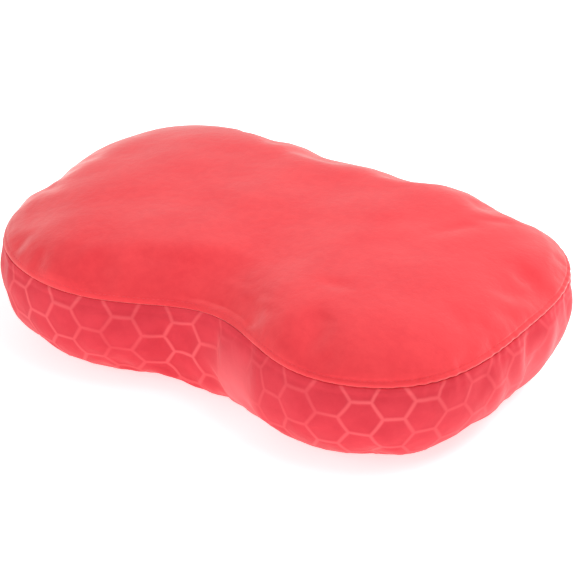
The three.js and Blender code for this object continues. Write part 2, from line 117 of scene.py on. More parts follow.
class NodeBench(Nodes):
    """A material's node tree."""

    def __init__(self, name: str) -> None:
        """Starts a material with one Principled shader."""
        self.material = bpy.data.materials.new(name)
        self.material.use_nodes = True
        self.tree = self.material.node_tree
        self.tree.nodes.clear()
        self.shader = self.add("ShaderNodeBsdfPrincipled")
        self.add("ShaderNodeOutputMaterial", Surface=self.shader.outputs["BSDF"])

    def set(self, **values: object) -> None:
        """Links or sets the shader's own inputs, named with _ for a space."""
        for key, value in values.items():
            self.feed(self.shader.inputs[key.replace("_", " ")], value)

    def place(self, scale: Point = (1, 1, 1)) -> bpy.types.NodeSocket:
        """Object coordinates, scaled."""
        coords = self.add("ShaderNodeTexCoord")
        return self.add("ShaderNodeMapping", Scale=scale, Vector=coords.outputs["Object"]).outputs["Vector"]

    def noise(self, scale: float, detail: float = 2.0) -> bpy.types.NodeSocket:
        """Noise from 0 to 1, on Object coordinates."""
        node = self.add("ShaderNodeTexNoise", Scale=scale, Detail=detail, Roughness=0.55, Vector=self.place())
        return node.outputs["Fac"]

    def ramp(self, value: bpy.types.NodeSocket, low: float, high: float) -> bpy.types.NodeSocket:
        """A value eased smoothly so that low becomes 0 and high becomes 1."""
        node = self.add("ShaderNodeMapRange", interpolation_type="SMOOTHSTEP", Value=value)
        node.inputs["From Min"].default_value = low
        node.inputs["From Max"].default_value = high
        return node.outputs["Result"]

    def blend(self, share: bpy.types.NodeSocket, first: object, second: object) -> bpy.types.NodeSocket:
        """A colour between two, each a socket or a linear colour."""
        node = self.add("ShaderNodeMix", data_type="RGBA")
        for index, value in ((0, share), (6, first), (7, second)):
            self.feed(node.inputs[index], value)
        return node.outputs[2]

    def bump(self, layers: Iterable[tuple[bpy.types.NodeSocket, float, float]]) -> None:
        """Adds bumps one on another, each with a height from 0 to 1, a depth in metres and a strength."""
        last = None
        for height, depth, strength in layers:
            node = self.add("ShaderNodeBump", Distance=depth, Strength=strength, Height=height)
            if last is not None:
                self.feed(node.inputs["Normal"], last)
            last = node.outputs["Normal"]
        self.set(Normal=last)


@dataclass(frozen=True)
class FabricFinish:
    """A dyed cloth: its colours, its nap and its grain."""

    name: str
    colour: str
    shade: str
    grain: Grain
    sheen: float = 0.3
    sheen_tint: str = "ffd6d2"
    roughness: float = 0.85
    thread_scale: float = 900.0
    relief: float = 0.00025

    def make(self) -> bpy.types.Material:
        """The material, with mottled dye, nap and grain on Object coordinates."""
        bench = NodeBench(self.name)
        cloud = bench.ramp(bench.noise(22, 3), 0.3, 0.72)
        nap = bench.ramp(bench.noise(160, 4), 0.32, 0.68)
        fibre = bench.noise(self.thread_scale, 2)
        tone = bench.math("MULTIPLY_ADD", cloud, 0.45, bench.math("MULTIPLY", nap, 0.35))
        tone = bench.math("MULTIPLY_ADD", fibre, 0.2, tone, clamp=True)
        rough = bench.ramp(nap, 0.0, 1.0)
        bench.set(
            Base_Color=bench.blend(tone, linear(self.shade), linear(self.colour)),
            Roughness=bench.math("MULTIPLY_ADD", rough, 0.08, self.roughness - 0.05),
            Sheen_Weight=self.sheen,
            Sheen_Roughness=0.4,
            Sheen_Tint=linear(self.sheen_tint),
            Specular_IOR_Level=0.25,
        )
        layers = [(nap, self.relief, 0.35), (fibre, self.relief * 0.8, 0.5)]
        if self.grain is Grain.WOVEN:
            warp = bench.add(
                "ShaderNodeTexWave", Scale=self.thread_scale / 6, Distortion=0.4, Vector=bench.place()
            )
            layers.append((warp.outputs["Fac"], self.relief, 0.4))
        bench.bump(layers)
        return bench.material


@dataclass(frozen=True)
class HexKnitFinish:
    """A knitted cloth with raised, paler lines between hexagonal cells."""

    name: str
    cell: str
    cell_shade: str
    line: str
    # a paler colour painted on as sheen where the wall's folds catch light
    painted_sheen_colour: str
    side: float
    line_width: float = 0.0026
    uv_name: str = "cloth"
    sheen: float = 0.28

    def make(self) -> bpy.types.Material:
        """The material. The pattern is worked out from the cloth's own UV map, in metres."""
        bench = NodeBench(self.name)
        uv = bench.add("ShaderNodeUVMap", uv_map=self.uv_name)
        split = bench.add("ShaderNodeSeparateXYZ", Vector=uv.outputs["UV"])
        edge = self.edge_distance(bench, split.outputs["X"], split.outputs["Y"])
        show = bench.add("ShaderNodeAttribute", attribute_name="line_show").outputs["Fac"]
        # pale reads the painted sheen attribute: how much paler colour stands in for light on each point
        pale = bench.add("ShaderNodeAttribute", attribute_name="painted_sheen").outputs["Fac"]
        half = self.line_width / 2
        line = bench.math("MULTIPLY", bench.ramp(edge, half * 1.6, half * 0.2), show)
        puff = bench.ramp(edge, half, self.side * 0.62)
        cloud = bench.ramp(bench.noise(60, 3), 0.34, 0.68)
        patch = bench.ramp(bench.noise(17, 2), 0.35, 0.65)
        knit = bench.add("ShaderNodeTexNoise", Scale=1500.0, Detail=1.0, Vector=bench.place((1, 1, 0.6)))
        stitch = knit.outputs["Fac"]
        tone = bench.math("MULTIPLY_ADD", cloud, 0.40, bench.math("MULTIPLY", stitch, 0.20))
        tone = bench.math("MULTIPLY_ADD", patch, 0.40, tone, clamp=True)
        ground = bench.blend(tone, linear(self.cell_shade), linear(self.cell))
        # painted sheen: the ground is blended towards the paler colour where the folds catch light
        ground = bench.blend(pale, ground, linear(self.painted_sheen_colour))
        bench.set(
            Base_Color=bench.blend(line, ground, linear(self.line)),
            Roughness=bench.math("MULTIPLY_ADD", line, -0.12, 0.84),
            Sheen_Weight=self.sheen,
            Sheen_Roughness=0.35,
            Sheen_Tint=linear("ffdcd8"),
            Specular_IOR_Level=0.3,
        )
        bench.bump([(puff, 0.0012, 0.3), (stitch, 0.0002, 0.45)])
        return bench.material

    def edge_distance(
        self, bench: NodeBench, u: bpy.types.NodeSocket, v: bpy.types.NodeSocket
    ) -> bpy.types.NodeSocket:
        """How far a point of the cloth, at u along and v across in metres, is from the nearest line."""
        across, tall = 3 * self.side, math.sqrt(3) * self.side

        def folded(term: bpy.types.NodeSocket, period: float, start: float) -> bpy.types.NodeSocket:
            """Distance from the nearest multiple of period, counted from start."""
            wrapped = bench.math("WRAP", bench.math("SUBTRACT", term, start), period / 2, -period / 2)
            return bench.math("ABSOLUTE", wrapped)

        def depth(start_u: float, start_v: float) -> bpy.types.NodeSocket:
            """How far inside the nearest cell of one lattice the point is, and negative outside."""
            x, y = folded(u, across, start_u), folded(v, tall, start_v)
            slant = bench.math("MULTIPLY_ADD", x, math.sqrt(3) / 2, bench.math("MULTIPLY", y, 0.5))
            return bench.math("SUBTRACT", tall / 2, bench.math("MAXIMUM", slant, y))

        return bench.math("ABSOLUTE", bench.math("MAXIMUM", depth(0, 0), depth(across / 2, tall / 2)))


@dataclass(frozen=True)
class MouldedFinish:
    """A moulded plastic, a rubber or a foam, with a fine surface texture."""

    name: str
    colour: str
    roughness: float
    texture: float = 900.0
    relief: float = 0.00006
    coat: float = 0.0
    metallic: float = 0.0
    subsurface: float = 0.0
    variation: float = 0.12

    def make(self) -> bpy.types.Material:
        """The material, with faint colour and gloss variation."""
        bench = NodeBench(self.name)
        base = linear(self.colour)
        dark = tuple(c * (1 - 2 * self.variation) for c in base[:3]) + (1.0,)
        cloud = bench.ramp(bench.noise(240, 3), 0.3, 0.7)
        bench.set(
            Base_Color=bench.blend(cloud, dark, base),
            Roughness=bench.math("MULTIPLY_ADD", cloud, 0.12, self.roughness - 0.06),
            Metallic=self.metallic,
            Coat_Weight=self.coat,
            Coat_Roughness=0.2,
            Subsurface_Weight=self.subsurface,
        )
        bench.bump([(bench.noise(self.texture, 2), self.relief, 0.5)])
        return bench.material


HEX_SIDE = 0.0143
BRUSHED_TOP = FabricFinish("brushed_top", "f5464c", "ea3640", Grain.BRUSHED, sheen=1.0)
# the knit's last colour, f26a70, is painted sheen for the lit folds of the wall
HEX_SIDE_KNIT = HexKnitFinish("hex_knit", "e13c49", "d3303e", "ee585f", "f26a70", HEX_SIDE)
PLAIN_FINISHES = (
    FabricFinish("seam_thread", "f5505a", "e6434e", Grain.WOVEN, sheen=0.2, thread_scale=2500),
    FabricFinish("binding_tape", "c94450", "b53743", Grain.WOVEN, sheen=0.15),
    FabricFinish("zip_tape", "c23a46", "a92f3b", Grain.WOVEN, sheen=0.15, thread_scale=1400),
    MouldedFinish("bladder_film", "98a1a6", 0.42, texture=500, relief=0.0001),
    MouldedFinish("open_cell_foam", "e8e0cd", 0.95, texture=700, relief=0.0006),
    MouldedFinish("valve_plastic", "292b2e", 0.5),
    MouldedFinish("cap_plastic", "3b3e42", 0.44),
    MouldedFinish("silicone", "d8d3ca", 0.55, subsurface=0.15),
    MouldedFinish("coil_nylon", "b0323e", 0.42, texture=1500),
    MouldedFinish("slider_metal", "55565a", 0.36, metallic=0.85, coat=0.2),
)


# ---- Meshes ----
def linked(name: str, data: bpy.types.ID) -> bpy.types.Object:
    """A new object in the scene that holds the data."""
    obj = bpy.data.objects.new(name, data)
    bpy.context.scene.collection.objects.link(obj)
    return obj


def mesh_object(
    name: str, points: np.ndarray, faces: Sequence[Sequence[int]], smooth: bool = True
) -> bpy.types.Object:
    """An object at the origin from points in metres and faces as rows of point numbers."""
    mesh = bpy.data.meshes.new(name)
    mesh.from_pydata([tuple(map(float, p)) for p in points], [], [tuple(map(int, f)) for f in faces])
    mesh.validate()
    mesh.shade_smooth() if smooth else mesh.shade_flat()
    return linked(name, mesh)


def settle(obj: bpy.types.Object) -> bpy.types.Object:
    """Turns an object's modifiers into plain mesh and removes them."""
    depsgraph = bpy.context.evaluated_depsgraph_get()
    made = bpy.data.meshes.new_from_object(obj.evaluated_get(depsgraph), depsgraph=depsgraph)
    obj.modifiers.clear()
    old, obj.data = obj.data, made
    made.name = obj.name
    bpy.data.meshes.remove(old)
    return obj


def thicken(obj: bpy.types.Object, wall: float) -> None:
    """Gives a sheet a wall on its inner side."""
    mod = obj.modifiers.new("wall", "SOLIDIFY")
    mod.thickness, mod.offset, mod.use_even_offset = wall, -1.0, False


def carve(obj: bpy.types.Object, *cutters: bpy.types.Object) -> None:
    """Cuts objects out of another, settles it and removes them."""
    for cutter in cutters:
        mod = obj.modifiers.new("cut", "BOOLEAN")
        mod.operation, mod.solver, mod.object = "DIFFERENCE", "EXACT", cutter
    settle(obj)
    for cutter in cutters:
        bpy.data.objects.remove(cutter)


def fit(
    obj: bpy.types.Object,
    material: bpy.types.Material,
    slot: str,
    node: str | None = None,
    body: str = "pillow",
    fill: float | None = None,
) -> bpy.types.Object:
    """Makes an object a piece of the pillow.

    Args:
        obj: The object.
        material: Its one material.
        slot: The record's slot for it; not used.
        node: The node it replaces, if any.
        body: The body it rides on.
        fill: How full a padded piece is; not used.

    Returns:
        The object.
    """
    obj.data.materials.clear()
    obj.data.materials.append(material)
    if node:
        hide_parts(node)
    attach(obj, body)
    return obj


def woven(rows: int, count: int, tube: bool = True, ring: bool = True) -> list[tuple[int, ...]]:
    """Faces between rows of points.

    Args:
        rows: How many rows.
        count: Points in each.
        tube: Whether the last row joins the first.
        ring: Whether each row is closed.

    Returns:
        The faces.
    """
    faces: list[tuple[int, ...]] = []
    for row in range(rows if tube else rows - 1):
        a, b = row * count, (row + 1) % rows * count
        for k in range(count if ring else count - 1):
            n = (k + 1) % count
            faces.append((a + k, a + n, b + n, b + k))
    return faces


def bore(name: str, radius: float, low: float, high: float, at: Point, turn: float) -> bpy.types.Object:
    """A round bar along X from low to high, turned by a right angle in one sense or the other."""
    points, faces = lathe([(0, low), (radius, low), (radius, high), (0, high)], 64)
    matrix = Matrix.Translation(at) @ Matrix.Rotation(turn, 4, "Y")
    return mesh_object(name, moved(points, matrix), faces)


def lathe(profile: Sequence[tuple[float, float]], segments: int = 96) -> tuple[np.ndarray, list]:
    """A solid of revolution about Z.

    Args:
        profile: (radius, height) points, going up on the outside; closed if no end is on the axis.
        segments: Steps round the axis.

    Returns:
        Points and faces.
    """
    points: list[Point] = []
    rows: list[list[int]] = []
    for radius, height in profile:
        if radius < 1e-9:
            rows.append([len(points)])
            points.append((0.0, 0.0, height))
            continue
        rows.append(list(range(len(points), len(points) + segments)))
        for step in range(segments):
            angle = 2 * math.pi * step / segments
            points.append((radius * math.cos(angle), radius * math.sin(angle), height))
    closed = len(rows[0]) > 1
    pairs = list(zip(rows, rows[1:] + rows[:1] if closed else rows[1:]))
    faces: list[tuple[int, ...]] = []
    for low, high in pairs:
        for k in range(segments):
            n = (k + 1) % segments
            if len(low) == 1:
                faces.append((low[0], high[n], high[k]))
            elif len(high) == 1:
                faces.append((low[k], low[n], high[0]))
            else:
                faces.append((low[k], low[n], high[n], high[k]))
    return np.array(points), faces


def rounded(profile: Sequence[tuple[float, float]], radius: float, steps: int = 3) -> list:
    """The same profile with its corners rounded, except those on the axis.

    Args:
        profile: (radius, height) points.
        radius: The largest rounding.
        steps: Points on each rounding, less one.

    Returns:
        The new profile.
    """
    pts = [np.array(p, float) for p in profile]
    closed = profile[0][0] > 1e-9
    out: list[tuple[float, float]] = []
    for i, here in enumerate(pts):
        if not closed and i in (0, len(pts) - 1):
            out.append(tuple(here))
            continue
        before, after = pts[i - 1] - here, pts[(i + 1) % len(pts)] - here
        cut = min(radius, np.linalg.norm(before) * 0.45, np.linalg.norm(after) * 0.45)
        start = here + before / np.linalg.norm(before) * cut
        end = here + after / np.linalg.norm(after) * cut
        for k in range(steps + 1):
            t = k / steps
            out.append(tuple((1 - t) ** 2 * start + 2 * t * (1 - t) * here + t * t * end))
    return out


def soft_box(low: Point, high: Point, round_off: float) -> tuple[np.ndarray, list]:
    """A box with chamfered edges and corners.

    Args:
        low: Its lowest corner.
        high: Its highest corner.
        round_off: The chamfer.

    Returns:
        Points and faces.
    """
    lo, hi = np.array(low, float), np.array(high, float)
    cut = min(round_off, float((hi - lo).min()) * 0.4)
    points: list[np.ndarray] = []
    index: dict[tuple[int, int, int, int], int] = {}
    signs = [(a, b, c) for a in (0, 1) for b in (0, 1) for c in (0, 1)]
    for corner in signs:
        for axis in range(3):
            p = np.where(corner, hi - cut, lo + cut)
            p[axis] = hi[axis] if corner[axis] else lo[axis]
            index[(*corner, axis)] = len(points)
            points.append(p)
    faces: list[list[int]] = [[index[(*c, a)] for a in range(3)] for c in signs]
    for axis in range(3):
        u, v = [a for a in range(3) if a != axis]
        for side in (0, 1):
            ring = []
            for a, b in ((0, 0), (1, 0), (1, 1), (0, 1)):
                c = [0, 0, 0]
                c[axis], c[u], c[v] = side, a, b
                ring.append(index[(*c, axis)])
            faces.append(ring)
        for a in (0, 1):
            for b in (0, 1):
                c0, c1 = [0, 0, 0], [0, 0, 0]
                c0[u], c0[v], c0[axis] = a, b, 0
                c1[u], c1[v], c1[axis] = a, b, 1
                faces.append([index[(*c0, u)], index[(*c1, u)], index[(*c1, v)], index[(*c0, v)]])
    middle = (lo + hi) / 2
    pts = np.array(points)
    for ring in faces:
        corners = pts[ring]
        normal = np.cross(corners[1] - corners[0], corners[2] - corners[0])
        if normal @ (corners.mean(0) - middle) < 0:
            ring.reverse()
    return pts, faces


def rod(start: Point, end: Point, radius: float, segments: int = 20) -> tuple[np.ndarray, list]:
    """A round bar between two points, with eased ends."""
    a, b = Vector(start), Vector(end)
    length = (b - a).length
    ease = radius * 0.25
    profile = [(0, 0), (radius - ease, 0), (radius, ease), (radius, length - ease)]
    profile += [(radius - ease, length), (0, length)]
    points, faces = lathe(profile, segments)
    turn = Vector((0, 0, 1)).rotation_difference(b - a).to_matrix().to_4x4()
    turn.translation = a
    return moved(points, turn), faces


def moved(points: np.ndarray, matrix: Matrix) -> np.ndarray:
    """Points carried through a matrix."""
    m = np.array(matrix)
    return points @ m[:3, :3].T + m[:3, 3]


def assembled(
    name: str, parts: Sequence[tuple[np.ndarray, list]], matrix: Matrix, sharp: float = 38
) -> bpy.types.Object:
    """One object from several closed forms.

    Args:
        name: The object's name.
        parts: Points and faces of each form, in millimetres.
        matrix: Where their frame lies, in metres.
        sharp: Edges that turn more than this, in degrees, stay sharp.

    Returns:
        The object.
    """
    points, faces, start = [], [], 0
    for pts, rings in parts:
        points.append(pts * MM)
        faces += [[start + i for i in ring] for ring in rings]
        start += len(pts)
    obj = mesh_object(name, moved(np.vstack(points), matrix), faces)
    obj.data.set_sharp_from_angle(angle=math.radians(sharp))
    return obj


# ---- The pillow's form ----
class Panel(Enum):
    """The three cloths of the cover."""

    CROWN = "crown"
    WALL = "wall"
    BASE = "base"


@dataclass(frozen=True)
class Waist:
    """How far and how widely a long side is drawn in."""

    depth: float
    width: float


@dataclass(frozen=True)
class PillowShape:
    """The taut form under every fold, and under the layers inside it. Metres."""

    length: float = 0.390
    depth: float = 0.287
    height: float = 0.100
    seam_height: float = 0.072
    corner_power: float = 3.25
    crown_power: float = 4.0
    front: Waist = Waist(0.030, 0.066)
    rear: Waist = Waist(0.016, 0.156)
    tuck: float = 0.046
    bulge: float = 0.0056
    columns: int = 400

    def outline(self, columns: int | None = None) -> tuple[np.ndarray, np.ndarray, np.ndarray]:
        """The seam line seen from above.

        Args:
            columns: How many points, or the shape's own number.

        Returns:
            Points anticlockwise from the front waist, outward normals, and the distance along.
        """
        count = columns or self.columns
        a = np.linspace(-math.pi / 2, 1.5 * math.pi, 4321)
        power = 2 / self.corner_power
        x = self.length / 2 * np.sign(np.cos(a)) * np.abs(np.cos(a)) ** power
        y = self.depth / 2 * np.sign(np.sin(a)) * np.abs(np.sin(a)) ** power
        share = np.minimum(1, np.abs(y) / (self.depth / 4))
        front = self.front.depth * np.exp(-((x / self.front.width) ** 2))
        rear = self.rear.depth * np.exp(-((x / self.rear.width) ** 2))
        y = y + np.where(y < 0, front, -rear) * share
        steps = np.hypot(np.diff(x), np.diff(y))
        along = np.concatenate([[0], np.cumsum(steps)])
        at = np.linspace(0, along[-1], count + 1)[:-1]
        pts = np.stack([np.interp(at, along, x), np.interp(at, along, y)], 1)
        run = np.roll(pts, -1, 0) - np.roll(pts, 1, 0)
        run /= np.linalg.norm(run, axis=1)[:, None]
        return pts, np.stack([run[:, 1], -run[:, 0]], 1), at

    def perimeter(self) -> float:
        """The length of the seam line."""
        pts, _, _ = self.outline()
        return float(np.linalg.norm(np.roll(pts, -1, 0) - pts, axis=1).sum())

    def wall_curve(self, inset: float) -> tuple[np.ndarray, np.ndarray, np.ndarray]:
        """The wall's section: distance down from the seam, offset from the outline, and height."""
        a = np.linspace(0, math.pi / 2, 400)
        offset = -self.tuck + (self.tuck - inset) * np.cos(a) + self.bulge * np.sin(2 * a)
        z = inset + (self.seam_height - inset) * (1 - np.sin(a))
        along = np.concatenate([[0], np.cumsum(np.hypot(np.diff(offset), np.diff(z)))])
        return along, offset, z

    def crown_curve(self, inset: float) -> tuple[np.ndarray, np.ndarray, np.ndarray]:
        """The crown's section: distance up from the seam, scale of the outline, and height."""
        a = np.linspace(0, math.pi / 2, 600)
        scale = np.maximum(np.cos(a), 0) ** (2 / self.crown_power)
        z = self.seam_height + (self.height - inset - self.seam_height) * np.sin(a)
        reach = (self.length + self.depth) / 4
        along = np.concatenate([[0], np.cumsum(np.hypot(np.diff(scale) * reach, np.diff(z)))])
        return along, scale, z

    def ring(self, panel: Panel, along: float, columns: int, inset: float = 0.0) -> np.ndarray:
        """One closed loop of points on a panel.

        Args:
            panel: Which cloth.
            along: Distance from its seam edge; on the base, from its rim towards the middle.
            columns: How many points.
            inset: Depth below the outer face.

        Returns:
            The points.
        """
        pts, nrm, _ = self.outline(columns)
        if panel is Panel.WALL:
            run, offset, height = self.wall_curve(inset)
            flat = pts + nrm * np.interp(along, run, offset)
            return np.column_stack([flat, np.full(columns, np.interp(along, run, height))])
        if panel is Panel.CROWN:
            run, scale, height = self.crown_curve(inset)
            flat = (pts - nrm * inset) * np.interp(along, run, scale)
            return np.column_stack([flat, np.full(columns, np.interp(along, run, height))])
        rim = pts - nrm * self.tuck
        reach = float(np.linalg.norm(rim, axis=1).mean())
        return np.column_stack([rim * max(0.0, 1 - along / reach), np.full(columns, inset)])


@dataclass
class Sheet:
    """Loops of points that make a cloth, outer edge first, and whether a pole closes the last."""

    loops: list[np.ndarray]
    pole: bool = True
    runs: Sequence[float] = ()

    def points(self) -> np.ndarray:
        """Every point, with the pole last."""
        return np.vstack([*self.loops, self.loops[-1].mean(0)] if self.pole else self.loops)

    def faces(self, flip: bool = False) -> list[tuple[int, ...]]:
        """Faces between the loops, where a loop may have half the points of the one before.

        Args:
            flip: Whether to turn them over.

        Returns:
            The faces.
        """
        faces: list[tuple[int, ...]] = []
        start = 0
        for first, second in zip(self.loops, self.loops[1:]):
            n, m = len(first), len(second)
            b = start + n
            if n == m:
                faces += [(start + k, start + (k + 1) % n, b + (k + 1) % n, b + k) for k in range(n)]
            else:
                for k in range(m):
                    p, q, r = start + 2 * k, start + 2 * k + 1, start + (2 * k + 2) % n
                    s, t = b + k, b + (k + 1) % m
                    faces += [(p, q, s), (q, t, s), (q, r, t)]
            start = b
        if self.pole:
            n = len(self.loops[-1])
            top = start + n
            faces += [(start + k, start + (k + 1) % n, top) for k in range(n)]
        return [tuple(reversed(f)) for f in faces] if flip else faces


def spaced(stops: Sequence[tuple[float, float]]) -> list[float]:
    """Distances that begin at 0 and grow by a step that changes along the way.

    Args:
        stops: Pairs of a distance and the step used up to it.

    Returns:
        The distances.
    """
    out = [0.0]
    for limit, step in stops:
        count = max(1, round((limit - out[-1]) / step))
        base = out[-1]
        out += [base + (limit - base) * (k + 1) / count for k in range(count)]
    return out


def bump_shape(value: np.ndarray) -> np.ndarray:
    """A smooth hill, 1 at 0."""
    return np.exp(-np.square(value))


@dataclass(frozen=True)
class Crease:
    """A soft furrow, or a ridge if its depth is negative, lying on the crown."""

    at: tuple[float, float]
    heading: float
    length: float
    width: float
    depth: float

    def lift(self, points: np.ndarray) -> np.ndarray:
        """How much it raises each point."""
        turn = math.radians(self.heading)
        d = points[:, :2] - np.array(self.at)
        along = d @ np.array([math.cos(turn), math.sin(turn)])
        across = d @ np.array([-math.sin(turn), math.cos(turn)])
        return -self.depth * bump_shape(along / self.length) * bump_shape(across / self.width)


@dataclass(frozen=True)
class Pleat:
    """A fold that runs down the wall from the seam, or stops short of it. Its place is along the seam."""

    at: float
    width: float
    depth: float
    high: float = 0.0
    low: float = 0.10
    lean: float = 0.0

    def lift(self, along: np.ndarray, down: np.ndarray, total: float) -> np.ndarray:
        """How much it raises each point of the wall.

        Args:
            along: Distance along the seam.
            down: Distance below it.
            total: The seam's length.

        Returns:
            The lift.
        """
        offset = (along - self.at - self.lean * down + total / 2) % total - total / 2
        ease = 0.012
        inside = 0.5 * (np.tanh((down - self.high) / ease) - np.tanh((down - self.low) / ease))
        return -self.depth * bump_shape(offset / self.width) * inside


@dataclass
class Swells:
    """Broad uneven waves, as foam and slack cloth have."""

    seed: int
    count: int
    shortest: float
    longest: float
    height: float
    waves: list[tuple[np.ndarray, float, float]] = field(default_factory=list)

    def __post_init__(self) -> None:
        """Draws the waves from the seed."""
        rng = np.random.default_rng(self.seed)
        for _ in range(self.count):
            direction = rng.normal(size=3)
            direction /= np.linalg.norm(direction)
            wave = rng.uniform(self.shortest, self.longest)
            self.waves.append((direction * 2 * math.pi / wave, rng.uniform(0, 6.28), wave))

    def lift(self, points: np.ndarray) -> np.ndarray:
        """How much they raise each point."""
        total = np.zeros(len(points))
        for vector, phase, wave in self.waves:
            total += wave / self.longest * np.sin(points @ vector + phase)
        return self.height * total / math.sqrt(self.count / 2)


# ---- Cover ----
@dataclass
class Drape:
    """A short cloth simulation of the whole blown-up cover, kept as the way each place moved."""

    shape: PillowShape
    voxel: float = 0.0055
    pressure: float = 2.2
    slack: float = 0.022
    frames: int = 20
    cap: float = 0.0034
    columns: int = 200

    def run(self, lift: Callable[[np.ndarray], np.ndarray]) -> "Drape":
        """Simulates the cover.

        Args:
            lift: The unevenness that the cloth starts from, for a set of points.

        Returns:
            Itself, ready for moves().
        """
        blank = self.blank()
        depsgraph = bpy.context.evaluated_depsgraph_get()
        mod = blank.modifiers.new("even", "REMESH")
        mod.mode, mod.voxel_size = "VOXEL", self.voxel
        depsgraph.update()
        settle(blank)
        mesh = blank.data
        start = np.zeros(len(mesh.vertices) * 3)
        mesh.vertices.foreach_get("co", start)
        start = start.reshape(-1, 3)
        normals = np.array([v.normal for v in mesh.vertices])
        start = start + normals * lift(start)[:, None]
        mesh.vertices.foreach_set("co", start.ravel())
        mesh.update()
        self.rest = start
        self.move = np.zeros_like(start)
        self.move = self.simulate(blank, start)
        bpy.data.objects.remove(blank)
        self.tree = KDTree(len(start))
        for i, point in enumerate(start):
            self.tree.insert(point, i)
        self.tree.balance()
        return self

    def blank(self) -> bpy.types.Object:
        """The closed form that is simulated."""
        shape, n = self.shape, self.columns
        wall, crown = shape.wall_curve(0)[0][-1], shape.crown_curve(0)[0][-1]
        down = [shape.ring(Panel.WALL, t, n) for t in np.linspace(wall, 0, 20)]
        up = [shape.ring(Panel.CROWN, t, n) for t in np.linspace(0.005, crown * 0.97, 28)]
        floor = [shape.ring(Panel.BASE, t, n) for t in np.linspace(0.1, 0.006, 14)]
        sheet = Sheet([*floor, *down, *up])
        points, faces = sheet.points(), sheet.faces()
        hub = len(points)
        points = np.vstack([points, floor[0].mean(0)])
        faces += [((k + 1) % n, k, hub) for k in range(n)]
        return mesh_object("cover_blank", points, faces)

    def simulate(self, blank: bpy.types.Object, start: np.ndarray) -> np.ndarray:
        """Runs the cloth and returns how far each point moved, capped."""
        held = blank.vertex_groups.new(name="held")
        low = np.clip(1 - (start[:, 2] - 0.001) / 0.004, 0, 1)
        near = np.abs(start[:, 2] - self.shape.seam_height)
        side = np.abs(np.array([v.normal.z for v in blank.data.vertices])) < 0.8
        seam = np.where(side, np.clip(1 - near / 0.006, 0, 1) * 0.5, 0)
        for i, weight in enumerate(np.maximum(np.maximum(low, seam), 0.04)):
            held.add([i], float(weight), "REPLACE")
        cloth = blank.modifiers.new("cloth", "CLOTH")
        settings = cloth.settings
        settings.quality = 5
        settings.mass = 0.25
        settings.tension_stiffness = settings.compression_stiffness = 14
        settings.shear_stiffness = 6
        settings.bending_stiffness = 0.6
        settings.use_pressure = True
        settings.uniform_pressure_force = self.pressure
        settings.effector_weights.gravity = 0
        settings.vertex_group_mass = "held"
        settings.pin_stiffness = 1.0
        settings.shrink_min = -self.slack
        cloth.collision_settings.use_self_collision = False
        cloth.point_cache.frame_start, cloth.point_cache.frame_end = 1, self.frames
        scene = bpy.context.scene
        for number in range(1, self.frames + 1):
            scene.frame_set(number)
        depsgraph = bpy.context.evaluated_depsgraph_get()
        result = blank.evaluated_get(depsgraph).data
        end = np.zeros(len(result.vertices) * 3)
        result.vertices.foreach_get("co", end)
        move = end.reshape(-1, 3) - start
        blank.modifiers.clear()
        scene.frame_set(1)
        size = np.linalg.norm(move, axis=1)
        log.info("drape: mean move %.2f mm, most %.2f mm", size.mean() / MM, size.max() / MM)
        move *= (self.cap * np.tanh(size / self.cap) / np.maximum(size, 1e-9))[:, None]
        return move

    def moves(self, points: np.ndarray) -> np.ndarray:
        """How far the cloth moved at each of these points."""
        if not np.any(self.move):
            return np.zeros_like(points)
        out = np.zeros_like(points)
        reach = self.voxel * 0.9
        for i, point in enumerate(points):
            near = self.tree.find_n(point, 10)
            weights = np.array([math.exp(-((d / reach) ** 2)) + 1e-6 for _, _, d in near])
            out[i] = weights @ self.move[[j for _, j, _ in near]] / weights.sum()
        return out


